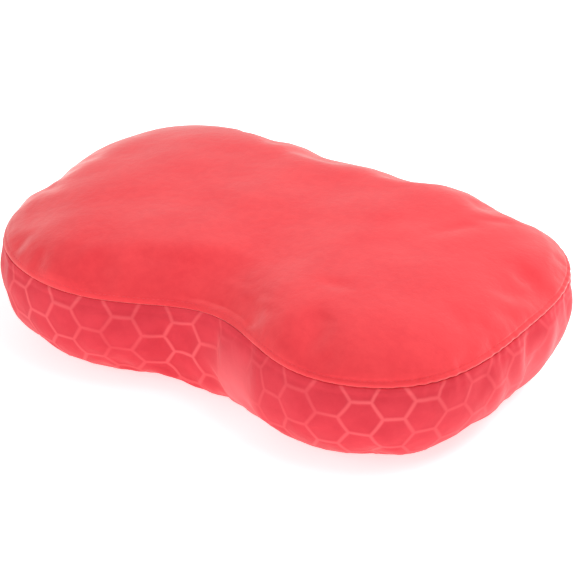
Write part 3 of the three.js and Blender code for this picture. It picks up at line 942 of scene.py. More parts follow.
@dataclass(frozen=True)
class HexCloth:
    """How the hexagon cloth lies on the wall, and how much of it the folds in the waist take in."""

    side: float = HEX_SIDE
    repeats: int = 27
    start: tuple[float, float] = (-0.0288, 0.0098)
    taken_in: float = 0.017
    fold_from: float = 0.02
    fold_to: float = 0.10
    line: float = 0.0013
    rise: float = 0.00035

    def place(self, along: np.ndarray, down: np.ndarray, total: float) -> tuple[np.ndarray, np.ndarray]:
        """Where points of the wall lie on the cloth.

        Args:
            along: Distance along the seam.
            down: Distance below it.
            total: The seam's length.

        Returns:
            Both distances on the cloth.
        """
        share = np.clip((along - self.fold_from) / (self.fold_to - self.fold_from), 0, 1)
        share = share * share * (3 - 2 * share)
        scale = (self.repeats * 3 * self.side - self.taken_in) / total
        return along * scale + self.taken_in * share - self.start[0], self.start[1] - down

    def lines(self, u: np.ndarray, v: np.ndarray) -> np.ndarray:
        """1 on the lines between cells, and 0 inside the cells."""
        across, tall = 3 * self.side, math.sqrt(3) * self.side
        best = np.full(np.shape(u), -1.0)
        for du, dv in ((0.0, 0.0), (across / 2, tall / 2)):
            x = np.abs((u - du + across / 2) % across - across / 2)
            y = np.abs((v - dv + tall / 2) % tall - tall / 2)
            best = np.maximum(best, tall / 2 - np.maximum(x * math.sqrt(3) / 2 + y / 2, y))
        return bump_shape(best / self.line)

    def shows(self, along: np.ndarray, points: np.ndarray, noise: Swells) -> np.ndarray:
        """How clearly the lines show, from 0 to 1: they fade in the waist and at the right end."""
        show = 0.72 + 0.28 * noise.lift(points)
        for place, reach, fade in ((0.047, 0.032, 0.90), (0.325, 0.075, 0.62), (0.968, 0.050, 0.70)):
            show = show * (1 - fade * bump_shape((along - place) / reach))
        return np.clip(show, 0.05, 1)

    def painted_sheen(self, along: np.ndarray, down: np.ndarray, points: np.ndarray, noise: Swells) -> np.ndarray:
        """How much painted sheen each point gets, from 0 to 1, where its lines fade: a paler colour standing
        in for light on the folds, stronger further below the seam.
        """
        most = np.zeros(len(along))
        for place, reach, height in ((0.046, 0.024, 0.80), (0.325, 0.070, 0.55), (0.933, 0.045, 0.45)):
            most = np.maximum(most, height * bump_shape((along - place) / reach))
        low = np.clip((down - 0.004) / 0.032, 0, 1)
        return np.clip(most * low * (1 + 0.35 * noise.lift(points)), 0, 1)


@dataclass
class Cover:
    """The sewn cover: top panel, side wall and base panel."""

    shape: PillowShape
    cloth: float = 0.0009
    seam_round: float = 0.0011
    seam_lip: float = 0.0030
    ridge_height: float = 0.0010
    ridge_at: float = 0.0023
    stitch_at: float = 0.0046
    ridge_width: float = 0.0015
    stitch_width: float = 0.0008
    stitch_groove: float = 0.0007
    roll_height: float = 0.0004
    roll_at: float = 0.003
    roll_width: float = 0.002
    pucker_height: float = 0.00030
    pucker_cycles: tuple[int, int] = (60, 165)
    foot_seam: float = 0.0012
    foot_groove: float = 0.0010
    hexagons: HexCloth = HexCloth()
    wall_columns: int = 800
    slot_half: float = 0.006
    slot_end: float = 0.002
    slot_corner: float = 0.0025
    port_gap: float = 0.0003
    waist_at: tuple[float, float] = (0.034, -0.115)
    waist_reach: tuple[float, float] = (0.053, 0.045)
    waist_in: float = 0.0087
    waist_up: float = 0.0030
    creases: tuple[Crease, ...] = (
        Crease((0.026, -0.072), 98, 0.058, 0.031, 0.0058),
        Crease((0.058, -0.104), 58, 0.040, 0.024, 0.0018),
        Crease((-0.004, -0.104), 120, 0.030, 0.014, 0.0012),
        Crease((0.084, -0.066), 10, 0.013, 0.006, 0.0011),
        Crease((0.110, 0.050), 62, 0.020, 0.006, 0.0010),
        Crease((0.123, 0.078), 40, 0.012, 0.005, 0.0010),
        Crease((-0.168, 0.010), 80, 0.034, 0.018, -0.0016),
        Crease((-0.156, -0.086), 140, 0.034, 0.024, 0.0034),
        Crease((-0.090, 0.060), 20, 0.060, 0.020, 0.0012),
        Crease((0.020, 0.080), 5, 0.070, 0.018, -0.0012),
        Crease((0.130, -0.020), 120, 0.050, 0.020, -0.0012),
        Crease((0.060, 0.020), 35, 0.050, 0.012, 0.0007),
        Crease((0.150, 0.070), 65, 0.030, 0.009, 0.0008),
        Crease((-0.050, -0.010), 160, 0.070, 0.014, 0.0006),
    )
    pleats: tuple[Pleat, ...] = (
        Pleat(0.014, 0.0095, 0.0019, 0.016, 0.062, 0.10),
        Pleat(0.036, 0.0140, -0.0020, 0.004, 0.085, 0.05),
        Pleat(0.008, 0.0300, -0.0042, 0.060, 0.110, 0.0),
        Pleat(0.056, 0.0080, 0.0014, -0.01, 0.050, -0.05),
        Pleat(0.068, 0.0085, -0.0013, 0.010, 0.070, 0.10),
        Pleat(0.086, 0.0095, 0.0012, 0.000, 0.060, 0.15),
        Pleat(0.002, 0.0100, -0.0010, 0.006, 0.060, 0.0),
        Pleat(0.226, 0.0090, 0.0009, 0.010, 0.060, 0.30),
        Pleat(0.243, 0.0080, -0.0009, 0.002, 0.055, 0.35),
        Pleat(0.260, 0.0080, 0.0015, -0.004, 0.045, 0.30),
        Pleat(0.276, 0.0085, -0.0014, 0.004, 0.060, 0.25),
        Pleat(0.294, 0.0100, 0.0014, -0.004, 0.050, 0.15),
        Pleat(0.314, 0.0100, -0.0015, 0.004, 0.060, 0.10),
        Pleat(0.336, 0.0090, 0.0013, -0.006, 0.045, 0.0),
        Pleat(0.353, 0.0050, 0.0014, -0.010, 0.022, 0.10),
        Pleat(-0.130, 0.0100, 0.0009, 0.004, 0.060, -0.10),
        Pleat(-0.154, 0.0110, -0.0011, 0.004, 0.070, -0.05),
        Pleat(-0.176, 0.0085, 0.0010, 0.000, 0.050, 0.05),
        Pleat(-0.208, 0.0100, 0.0009, 0.000, 0.060, 0.10),
        Pleat(0.420, 0.0100, 0.0010, 0.000, 0.050, 0.10),
        Pleat(0.452, 0.0110, -0.0010, 0.004, 0.060, 0.05),
        Pleat(-0.420, 0.0100, 0.0009, 0.000, 0.055, -0.10),
        Pleat(-0.450, 0.0110, -0.0010, 0.004, 0.060, -0.05),
    )

    def __post_init__(self) -> None:
        """Sets up the waves, the puckers and the drape."""
        self.total = self.shape.perimeter()
        self.swells = Swells(seed=11, count=14, shortest=0.06, longest=0.13, height=0.0011)
        self.ripples = Swells(seed=5, count=12, shortest=0.022, longest=0.045, height=0.00035)
        self.fading = Swells(seed=8, count=9, shortest=0.05, longest=0.11, height=0.9)
        self.waver = [Swells(seed=s, count=9, shortest=0.02, longest=0.05, height=0.0006) for s in (21, 22)]
        rng = np.random.default_rng(3)
        self.pucker_waves = [
            (int(rng.integers(*self.pucker_cycles)), float(rng.uniform(0, 6.28)), float(rng.uniform(0.4, 1)))
            for _ in range(9)
        ]
        low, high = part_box("zip_tape_lower")[0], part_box("zip_tape_upper")[1]
        self.zip_low, self.zip_high, self.zip_middle = low, high, (low.z + high.z) / 2
        self.drape = Drape(self.shape).run(self.swells.lift)

    def puckers(self, along: np.ndarray) -> np.ndarray:
        """Uneven gathers along the seam, from about -1 to 1, strongest at the right end."""
        total = np.zeros(len(along))
        for cycles, phase, size in self.pucker_waves:
            total += size * np.sin(2 * math.pi * cycles * along / self.total + phase)
        return total / 2.2 * self.prominence(along)

    def prominence(self, along: np.ndarray) -> np.ndarray:
        """How much the seam stands out: hardly in the waist, a little at the left, most at the right end."""
        right = (along - 0.27 + self.total / 2) % self.total - self.total / 2
        waist = (along - 0.030 + self.total / 2) % self.total - self.total / 2
        return (0.16 + 0.94 * bump_shape(right / 0.16)) * (1 - 0.90 * bump_shape(waist / 0.062))

    def away_from_fittings(self, points: np.ndarray) -> np.ndarray:
        """1 on free cloth, and 0 round the zip and the valve."""
        dx = np.maximum(np.abs(points[:, 0]) - self.zip_high.x - 0.004, 0)
        above = points[:, 2] - self.zip_high.z
        dz = np.maximum(np.maximum(self.zip_low.z - points[:, 2], above), 0)
        zip_far = np.where(points[:, 1] > 0, np.hypot(dx, dz), 1)
        lo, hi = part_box("valve_base")
        radius = (hi.y - lo.y) / 2 + 0.003
        height = lo.z + (hi.y - lo.y) / 2
        port = np.hypot(points[:, 1], points[:, 2] - height) - radius
        port_far = np.where(points[:, 0] < -0.1, np.maximum(port, 0), 1)
        return np.clip(np.minimum(zip_far, port_far) / 0.016, 0, 1) ** 1.5

    def drawn_in(self, points: np.ndarray) -> np.ndarray:
        """Points carried in and up where the front waist is drawn in at the seam."""
        out = points.copy()
        side = bump_shape((points[:, 0] - self.waist_at[0]) / self.waist_reach[0])
        deep = bump_shape(np.maximum(points[:, 1] - self.waist_at[1], 0) / self.waist_reach[1])
        rise = np.clip((points[:, 2] - 0.022) / 0.048, 0, 1)
        share = side * deep * rise * rise * (3 - 2 * rise)
        out[:, 1] += self.waist_in * share
        out[:, 2] += self.waist_up * share
        return out

    def pressed(self, points: np.ndarray, inset: float) -> np.ndarray:
        """Points kept down on the zip's tapes, so that the slot isn't a deep well.

        Args:
            points: Points of a layer.
            inset: The layer's depth below the cover's outer face.

        Returns:
            The points.
        """
        limit = self.zip_high.y + 0.0003 + self.cloth
        dx = np.maximum(np.abs(points[:, 0]) - self.zip_high.x + 0.006, 0) / 0.030
        dz = np.maximum(np.abs(points[:, 2] - self.zip_middle) - 0.009, 0) / 0.013
        share = bump_shape(np.hypot(dx, dz)) * (points[:, 1] > 0)
        out = points.copy()
        out[:, 1] -= share * np.maximum(points[:, 1] + inset - limit, 0)
        return out

    def seam_relief(self, panel: Panel, down: float, along: np.ndarray) -> np.ndarray:
        """How much the seam raises a loop of the cloth."""
        lift = self.pucker_height * self.puckers(along) * math.exp(-down / 0.006)
        stands = self.prominence(along)
        if panel is Panel.CROWN:
            lift += stands * self.ridge_height * math.exp(-(((down - self.ridge_at) / self.ridge_width) ** 2))
            groove = math.exp(-(((down - self.stitch_at) / self.stitch_width) ** 2))
            return lift - stands * self.stitch_groove * groove
        lift += self.roll_height * math.exp(-(((down - self.roll_at) / self.roll_width) ** 2))
        return lift + self.pucker_height * np.roll(self.puckers(along), 5) * math.exp(-down / 0.012) * 0.7

    def soft_relief(self, panel: Panel, down: float, along: np.ndarray, points: np.ndarray) -> np.ndarray:
        """How much folds and waves raise a loop of any layer."""
        if panel is Panel.CROWN:
            soft = self.swells.lift(points) + 0.5 * self.ripples.lift(points)
            return (soft + sum(c.lift(points) for c in self.creases)) * min(1.0, down / 0.010)
        soft = 0.6 * self.swells.lift(points) + self.ripples.lift(points)
        level = np.full(len(along), down)
        folds = sum(p.lift(along, level, self.total) for p in self.pleats)
        return (soft * min(1.0, down / 0.010) + folds) * self.away_from_fittings(points)

    def facing(self, panel: Panel, down: float, normals: np.ndarray) -> np.ndarray:
        """The outward direction of the taut form at a loop."""
        curve = self.shape.crown_curve(0) if panel is Panel.CROWN else self.shape.wall_curve(0)
        run, across, height = curve
        at = np.clip(np.array([down - 0.0005, down + 0.0005]), 0, run[-1])
        reach = (self.shape.length + self.shape.depth) / 4 if panel is Panel.CROWN else 1.0
        radial = np.diff(np.interp(at, run, across))[0] * reach
        rise = np.diff(np.interp(at, run, height))[0]
        out, up = (rise, -radial) if panel is Panel.CROWN else (-rise, radial)
        size = math.hypot(out, up)
        return np.column_stack([normals * out / size, np.full(len(normals), up / size)])

    def loop(self, panel: Panel, down: float, columns: int, inset: float = 0.0) -> np.ndarray:
        """A finished loop of the top panel or the side wall, or of a layer under it.

        Args:
            panel: Which cloth.
            down: Its distance from the upper seam.
            columns: How many points.
            inset: The layer's depth below the outer face.

        Returns:
            The points.
        """
        _, normals, along = self.shape.outline(columns)
        points = self.shape.ring(panel, down, columns, inset)
        direction = self.facing(panel, down, normals)
        lift = self.soft_relief(panel, down, along, points)
        drape = self.drape.moves(points) * min(1.0, down / 0.008)
        foot = 1.0
        if panel is Panel.WALL:
            drape *= self.away_from_fittings(points)[:, None]
            below = self.shape.wall_curve(inset)[0][-1] - down
            foot = float(np.clip(below / 0.02, 0, 1))
        if inset == 0:
            lift = lift + self.seam_relief(panel, down, along)
            if panel is Panel.WALL:
                u, v = self.on_cloth(along, down, points)
                shows = self.hexagons.shows(along, points, self.fading)
                lines = self.hexagons.rise * self.hexagons.lines(u, v)
                lift = lift + lines * shows * min(1.0, down / 0.002)
                groove = math.exp(-((below / self.foot_seam) ** 2))
                lift = lift - self.foot_groove * groove / max(foot, 0.05)
            if down < self.seam_round:
                drop = 1 - math.sqrt(max(0.0, 1 - (1 - down / self.seam_round) ** 2))
                depth = drop * self.seam_round * np.clip(0.35 + 0.65 * self.prominence(along), 0, 1)
                points[:, :2] -= normals * depth[:, None]
        points = points + direction * (lift * foot)[:, None] + drape * foot
        points[:, 2] = np.maximum(points[:, 2], inset)
        points = self.drawn_in(points)
        return self.pressed(points, 0.0) if inset == 0 else points

    def on_cloth(self, along: np.ndarray, down: float, points: np.ndarray) -> tuple[np.ndarray, np.ndarray]:
        """Where a loop of the wall lies on the hexagon cloth, a little unevenly."""
        u, v = self.hexagons.place(along, np.full(len(along), down), self.total)
        return u + self.waver[0].lift(points), v + self.waver[1].lift(points)

    def lips(self, panel: Panel, columns: int) -> list[np.ndarray]:
        """Loops of the edge that is turned in at the upper seam, from the inside out."""
        _, normals, along = self.shape.outline(columns)
        points = self.shape.ring(panel, 0, columns)
        side = 0.00025 if panel is Panel.CROWN else -0.00025
        wave = 0.0002 * self.puckers(along)
        loops = []
        for inset in (self.seam_lip, 0.0022):
            edge = points.copy()
            edge[:, :2] -= normals * inset
            edge[:, 2] += side + wave
            loops.append(self.drawn_in(edge))
        return loops

    def panel_sheet(self, panel: Panel) -> Sheet:
        """The loops of the top panel or the side wall."""
        crown = panel is Panel.CROWN
        run, across, _ = self.shape.crown_curve(0) if crown else self.shape.wall_curve(0)
        fine = [(0.0024, 0.0004), (0.0066, 0.0005), (0.013, 0.0010)]
        if crown:
            stops = [*fine, (0.024, 0.0018), (run[-1] * 0.985, 0.0028)]
        else:
            stops = [*fine, (run[-1] - 0.014, 0.0013), (run[-1] - 0.004, 0.0020), (run[-1], 0.0006)]
        runs = spaced(stops)
        loops = self.lips(panel, self.wall_columns)
        for down in runs:
            columns = self.wall_columns
            if crown:
                columns //= 1 if down < 0.012 else 2
                share = float(np.interp(down, run, across))
                for limit in (0.5, 0.25, 0.12):
                    columns //= 2 if share < limit else 1
            loops.append(self.loop(panel, down, columns))
        return Sheet(loops, crown, [-0.003, -0.002, *runs])

    def top_panel(self) -> bpy.types.Object:
        """The brushed top, one crowned cloth turned in at the seam."""
        sheet = self.panel_sheet(Panel.CROWN)
        obj = mesh_object("cover_top", sheet.points(), sheet.faces())
        thicken(obj, self.cloth)
        return settle(obj)

    def side_wall(self) -> bpy.types.Object:
        """The hexagon-knit wall, with the zip's slot and the valve's port cut through it."""
        sheet = self.panel_sheet(Panel.WALL)
        obj = mesh_object("cover_side", sheet.points(), sheet.faces(flip=True))
        self.unroll(obj, sheet)
        thicken(obj, self.cloth)
        carve(obj, self.slot_cutter(), self.port_cutter())
        return obj

    def unroll(self, obj: bpy.types.Object, sheet: Sheet) -> None:
        """Gives the wall a UV map in metres on its cloth, how clearly its lines show, and how much painted
        sheen, a paler colour standing in for light on its folds, each point gets.

        Args:
            obj: The wall.
            sheet: The loops it was made from.
        """
        columns = self.wall_columns
        stack = sheet.points()
        column = np.tile(np.arange(columns), len(sheet.loops))
        along = column / columns * self.total
        down = np.repeat(np.array(sheet.runs), columns)
        show = obj.data.attributes.new("line_show", "FLOAT", "POINT")
        show.data.foreach_set("value", self.hexagons.shows(along, stack, self.fading))
        # painted sheen: how much paler colour each point of the wall gets where its folds catch light
        painted_sheen = obj.data.attributes.new("painted_sheen", "FLOAT", "POINT")
        painted_sheen.data.foreach_set("value", self.hexagons.painted_sheen(along, down, stack, self.fading))
        corner = np.zeros(len(obj.data.loops), int)
        obj.data.loops.foreach_get("vertex_index", corner)
        quads = column[corner].reshape(-1, 4)
        wraps = (quads.max(1) - quads.min(1) > columns / 2)[:, None] & (quads < columns / 2)
        turned = np.where(wraps, quads + columns, quads).ravel() / columns * self.total
        u, v = self.hexagons.place(turned, down[corner], self.total)
        moves = [wave.lift(stack)[corner] for wave in self.waver]
        coords = np.column_stack([u + moves[0], v + moves[1]])
        obj.data.uv_layers.new(name="cloth").data.foreach_set("uv", coords.ravel())

    def slot_outline(self, out: float) -> list:
        """The outline of the zip's slot, made larger all round."""
        end, far, middle = self.slot_end + out, self.slot_half + out, self.zip_middle
        left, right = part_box("zip_top_stop_upper")[0].x - end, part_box("zip_bottom_stop")[1].x + end
        return rounded_outline(left, middle - far, right, middle + far, self.slot_corner + out)

    def slot_cutter(self) -> bpy.types.Object:
        """A rounded bar where the zip shows."""
        outline = self.slot_outline(0.0)
        n = len(outline)
        points = [(x, y, z) for y in (0.11, 0.15) for x, z in outline]
        faces = [tuple(range(n)), tuple(reversed(range(n, 2 * n)))]
        faces += [((k + 1) % n, k, n + k, n + (k + 1) % n) for k in range(n)]
        return mesh_object("slot_cutter", np.array(points), faces)

    def slot_stitches(self) -> np.ndarray:
        """The line of stitching round the zip's slot."""
        dense = Zip.resampled(self.slot_outline(0.002), 300)
        face = self.zip_high.y + 0.0003 + self.cloth + 0.0001
        return np.column_stack([dense[:, 0], np.full(len(dense), face), dense[:, 1]])

    def port_cutter(self) -> bpy.types.Object:
        """A round bar where the valve stands in the wall."""
        low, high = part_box("valve_port_binding")
        radius = (high.z - low.z) / 2 + self.port_gap
        middle = ((low.x + high.x) / 2, 0, (low.z + high.z) / 2)
        return bore("port_cutter", radius, -0.02, 0.02, middle, -math.pi / 2)

    def base_panel(self) -> bpy.types.Object:
        """The base, flat where the pillow rests, with its rim drawn up at the lower seam."""
        reach = float(np.linalg.norm(self.shape.outline()[0], axis=1).mean()) - self.shape.tuck
        runs = spaced([(0.004, 0.0006), (0.012, 0.002), (reach * 0.97, 0.005)])
        _, normals, _ = self.shape.outline()
        loops = []
        for height in (0.0022, 0.0012):
            rim = self.shape.ring(Panel.BASE, 0, self.shape.columns)
            rim[:, :2] -= normals * 0.0002
            rim[:, 2] = height
            loops.append(rim)
        for down in runs:
            columns = self.shape.columns
            for limit in (0.5, 0.25, 0.12):
                columns //= 2 if 1 - down / reach < limit else 1
            points = self.shape.ring(Panel.BASE, down + 0.0004, columns)
            points[:, 2] = 0.0009 * math.exp(-((down / 0.0012) ** 2))
            loops.append(points)
        sheet = Sheet(loops)
        points = sheet.points()
        obj = mesh_object("cover_base", points, sheet.faces(flip=True))
        corner = np.zeros(len(obj.data.loops), int)
        obj.data.loops.foreach_get("vertex_index", corner)
        obj.data.uv_layers.new(name="cloth").data.foreach_set("uv", points[corner][:, :2].ravel())
        show = obj.data.attributes.new("line_show", "FLOAT", "POINT")
        show.data.foreach_set("value", np.full(len(points), 0.7))
        # an empty painted sheen attribute, so the knit material paints no sheen on the base
        obj.data.attributes.new("painted_sheen", "FLOAT", "POINT")
        thicken(obj, self.cloth)
        return settle(obj)

    def seam_path(self, down: float) -> np.ndarray:
        """The line of topstitching, a given distance up the top panel from the seam."""
        return self.loop(Panel.CROWN, down, self.shape.columns * 2)

    def build(self, hex_knit: bpy.types.Material, brushed: bpy.types.Material) -> list[bpy.types.Object]:
        """Makes and dresses the three panels."""
        top, side, base = self.top_panel(), self.side_wall(), self.base_panel()
        return [
            fit(top, brushed, "brushed_fabric", "cover_top_panel", fill=0.85),
            fit(side, hex_knit, "hex_fabric", "cover_side_wall", fill=0.8),
            fit(base, hex_knit, "hex_fabric", "cover_base_panel", fill=0.9),
        ]


# ---- Seams ----
class NodeTree(Nodes):
    """A Geometry Nodes tree with named inputs."""

    def __init__(self, name: str) -> None:
        """Starts a tree with geometry in and out."""
        self.tree = bpy.data.node_groups.new(name, "GeometryNodeTree")
        for way in ("INPUT", "OUTPUT"):
            self.tree.interface.new_socket("Geometry", in_out=way, socket_type="NodeSocketGeometry")
        self.inputs: dict[str, str] = {}
        self.source = self.add("NodeGroupInput")

    def input(self, name: str, kind: str, default: object = None) -> bpy.types.NodeSocket:
        """Adds a named input and returns its socket inside the tree."""
        item = self.tree.interface.new_socket(name, in_out="INPUT", socket_type=kind)
        if default is not None:
            item.default_value = default
        self.inputs[name] = item.identifier
        return self.source.outputs[name]

    def floats(self, **defaults: float) -> list[bpy.types.NodeSocket]:
        """Adds number inputs, named with _ for a space, and returns their sockets."""
        return [self.input(k.replace("_", " "), "NodeSocketFloat", v) for k, v in defaults.items()]

    def scatter(
        self, points: object, radius: float, rotation: object, scale: object, material: object
    ) -> None:
        """Puts a turned and scaled ball at every point and finishes the tree."""
        ball = self.add("GeometryNodeMeshUVSphere", Segments=8, Rings=6, Radius=radius)
        placed = self.add("GeometryNodeInstanceOnPoints", Points=points, Instance=ball.outputs["Mesh"])
        self.feed(placed.inputs["Rotation"], rotation)
        self.feed(placed.inputs["Scale"], scale)
        self.finish(placed.outputs["Instances"], material)

    def finish(self, geometry: bpy.types.NodeSocket, material: bpy.types.NodeSocket) -> None:
        """Realizes instances, sets the material and joins the output."""
        for kind in ("GeometryNodeRealizeInstances", "GeometryNodeSetShadeSmooth"):
            geometry = self.add(kind, Geometry=geometry).outputs["Geometry"]
        painted = self.add("GeometryNodeSetMaterial", Geometry=geometry, Material=material)
        self.add("NodeGroupOutput", Geometry=painted.outputs["Geometry"])

    def run(self, obj: bpy.types.Object, **values: object) -> bpy.types.Object:
        """Runs the tree on an object and keeps the result as plain mesh.

        Args:
            obj: The object it starts from.
            **values: Input values, named with _ for a space.

        Returns:
            The object.
        """
        mod = obj.modifiers.new("tree", "NODES")
        mod.node_group = self.tree
        for key, value in values.items():
            mod[self.inputs[key.replace("_", " ")]] = value
        return settle(obj)


class StitchTree(NodeTree):
    """Even stitches along a line of edges."""

    def __init__(self) -> None:
        """Builds the tree."""
        super().__init__("stitches")
        pitch, length, radius, uneven = self.floats(
            Pitch=0.003, Stitch_Length=0.0023, Thread_Radius=0.0003, Unevenness=0.1
        )
        seed = self.input("Seed", "NodeSocketInt", 1)
        material = self.input("Material", "NodeSocketMaterial")
        curve = self.add("GeometryNodeMeshToCurve", Mesh=self.source.outputs["Geometry"]).outputs["Curve"]
        even = self.add("GeometryNodeResampleCurve", mode="LENGTH", Curve=curve, Length=pitch)
        half = self.math("MULTIPLY", length, 0.5)
        size = self.add("ShaderNodeCombineXYZ", X=radius, Y=radius, Z=half)
        tangent = self.add("GeometryNodeInputTangent").outputs[0]
        align = self.add("FunctionNodeAlignRotationToVector", axis="Z", Vector=tangent)
        random = self.add("FunctionNodeRandomValue", data_type="FLOAT", Seed=seed)
        self.feed(random.inputs[2], self.math("SUBTRACT", 1.0, uneven))
        self.feed(random.inputs[3], 1.0)
        scaled = self.add("ShaderNodeVectorMath", operation="SCALE", Scale=random.outputs[1])
        self.feed(scaled.inputs[0], size.outputs[0])
        self.scatter(even.outputs["Curve"], 1.0, align.outputs["Rotation"], scaled.outputs["Vector"], material)


class CoilTree(NodeTree):
    """A wound nylon coil along a straight line of two points, flattened to an oval."""

    def __init__(self) -> None:
        """Builds the tree."""
        super().__init__("zip_coil")
        turns, wide, thick, length, wire = self.floats(
            Turns=100.0, Half_Width=0.0012, Half_Thickness=0.0007, Length=0.17, Wire_Radius=0.00032
        )
        material = self.input("Material", "NodeSocketMaterial")
        spiral = self.add("GeometryNodeCurveSpiral", Resolution=14, Rotations=turns, Height=length)
        for name in ("Start Radius", "End Radius"):
            spiral.inputs[name].default_value = 1.0
        size = self.add("ShaderNodeCombineXYZ", X=wide, Y=thick, Z=1.0).outputs[0]
        oval = self.add("GeometryNodeTransform", Geometry=spiral.outputs["Curve"], Scale=size)
        section = self.add("GeometryNodeCurvePrimitiveCircle", Resolution=6, Radius=wire)
        tube = self.add("GeometryNodeCurveToMesh", Curve=oval.outputs["Geometry"], Fill_Caps=True)
        self.feed(tube.inputs["Profile Curve"], section.outputs["Curve"])
        self.finish(tube.outputs["Mesh"], material)


def path_object(name: str, points: np.ndarray, closed: bool) -> bpy.types.Object:
    """A line of edges through points."""
    mesh = bpy.data.meshes.new(name)
    n = len(points)
    edges = [(k, (k + 1) % n) for k in range(n if closed else n - 1)]
    mesh.from_pydata([tuple(map(float, p)) for p in points], edges, [])
    return linked(name, mesh)


def band_object(name: str, loops: Sequence[np.ndarray]) -> bpy.types.Object:
    """A closed ring whose section runs through the loops in turn."""
    return mesh_object(name, np.vstack(loops), woven(len(loops), len(loops[0])))


@dataclass
class Seams:
    """Topstitching, and the bound seam allowances inside the cover."""

    cover: Cover
    pitch: float = 0.0034
    thread: float = 0.00026
    binding: float = 0.0006
    lower_edges: tuple[float, float] = (0.0463, 0.0523)
    columns: int = 240

    def stitched(
        self, name: str, points: np.ndarray, tree: StitchTree, thread: bpy.types.Material, **values: float
    ) -> bpy.types.Object:
        """Stitches along a closed line; values are the tree's Pitch and so on."""
        return tree.run(path_object(name, points, True), Unevenness=0.12, Material=thread, **values)

    def upper_binding(self) -> bpy.types.Object:
        """A tape folded over the turned-in edges, inside the wall."""
        shape = self.cover.shape
        low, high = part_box("upper_seam_binding")
        inset = (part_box("cover_side_wall")[1].x - high.x) - 0.0004
        inner = inset + self.binding
        rings = []
        for depth, height in ((inset, high.z), (inset, low.z), (inner, low.z), (inner, high.z)):
            along, _, z = shape.wall_curve(depth)
            ring = shape.ring(Panel.WALL, float(np.interp(-height, -z, along)), self.columns, depth)
            rings.append(self.cover.pressed(self.cover.drawn_in(ring), depth))
        return band_object("upper_seam_tape", rings)

    def lower_binding(self) -> bpy.types.Object:
        """A tape on the base panel, inside the lower seam."""
        low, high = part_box("lower_seam_binding")
        pts, normals, _ = self.cover.shape.outline(self.columns)
        edge, inner = self.lower_edges
        section = ((inner, high.z), (inner, low.z), (edge, low.z), (edge, high.z))
        rings = [np.column_stack([pts - normals * inset, np.full(self.columns, z)]) for inset, z in section]
        return band_object("lower_seam_tape", rings)

    def build(self, tree: StitchTree, paint: Paint) -> list[bpy.types.Object]:
        """Makes and dresses the stitching and tapes."""
        thread, tape = paint["seam_thread"], paint["binding_tape"]
        seam = self.stitched(
            "seam_topstitching",
            self.cover.seam_path(self.cover.stitch_at),
            tree,
            thread,
            Pitch=self.pitch,
            Stitch_Length=self.pitch * 0.72,
            Thread_Radius=self.thread,
            Seed=4,
        )
        slot = self.stitched(
            "zip_slot_stitching",
            self.cover.slot_stitches(),
            tree,
            thread,
            Pitch=0.0027,
            Stitch_Length=0.0020,
            Thread_Radius=0.00024,
            Seed=9,
        )
        return [
            fit(seam, thread, "seam_thread", "upper_seam_topstitch"),
            fit(slot, thread, "seam_thread"),
            fit(self.upper_binding(), tape, "binding_tape", "upper_seam_binding"),
            fit(self.lower_binding(), tape, "binding_tape", "lower_seam_binding"),
        ]


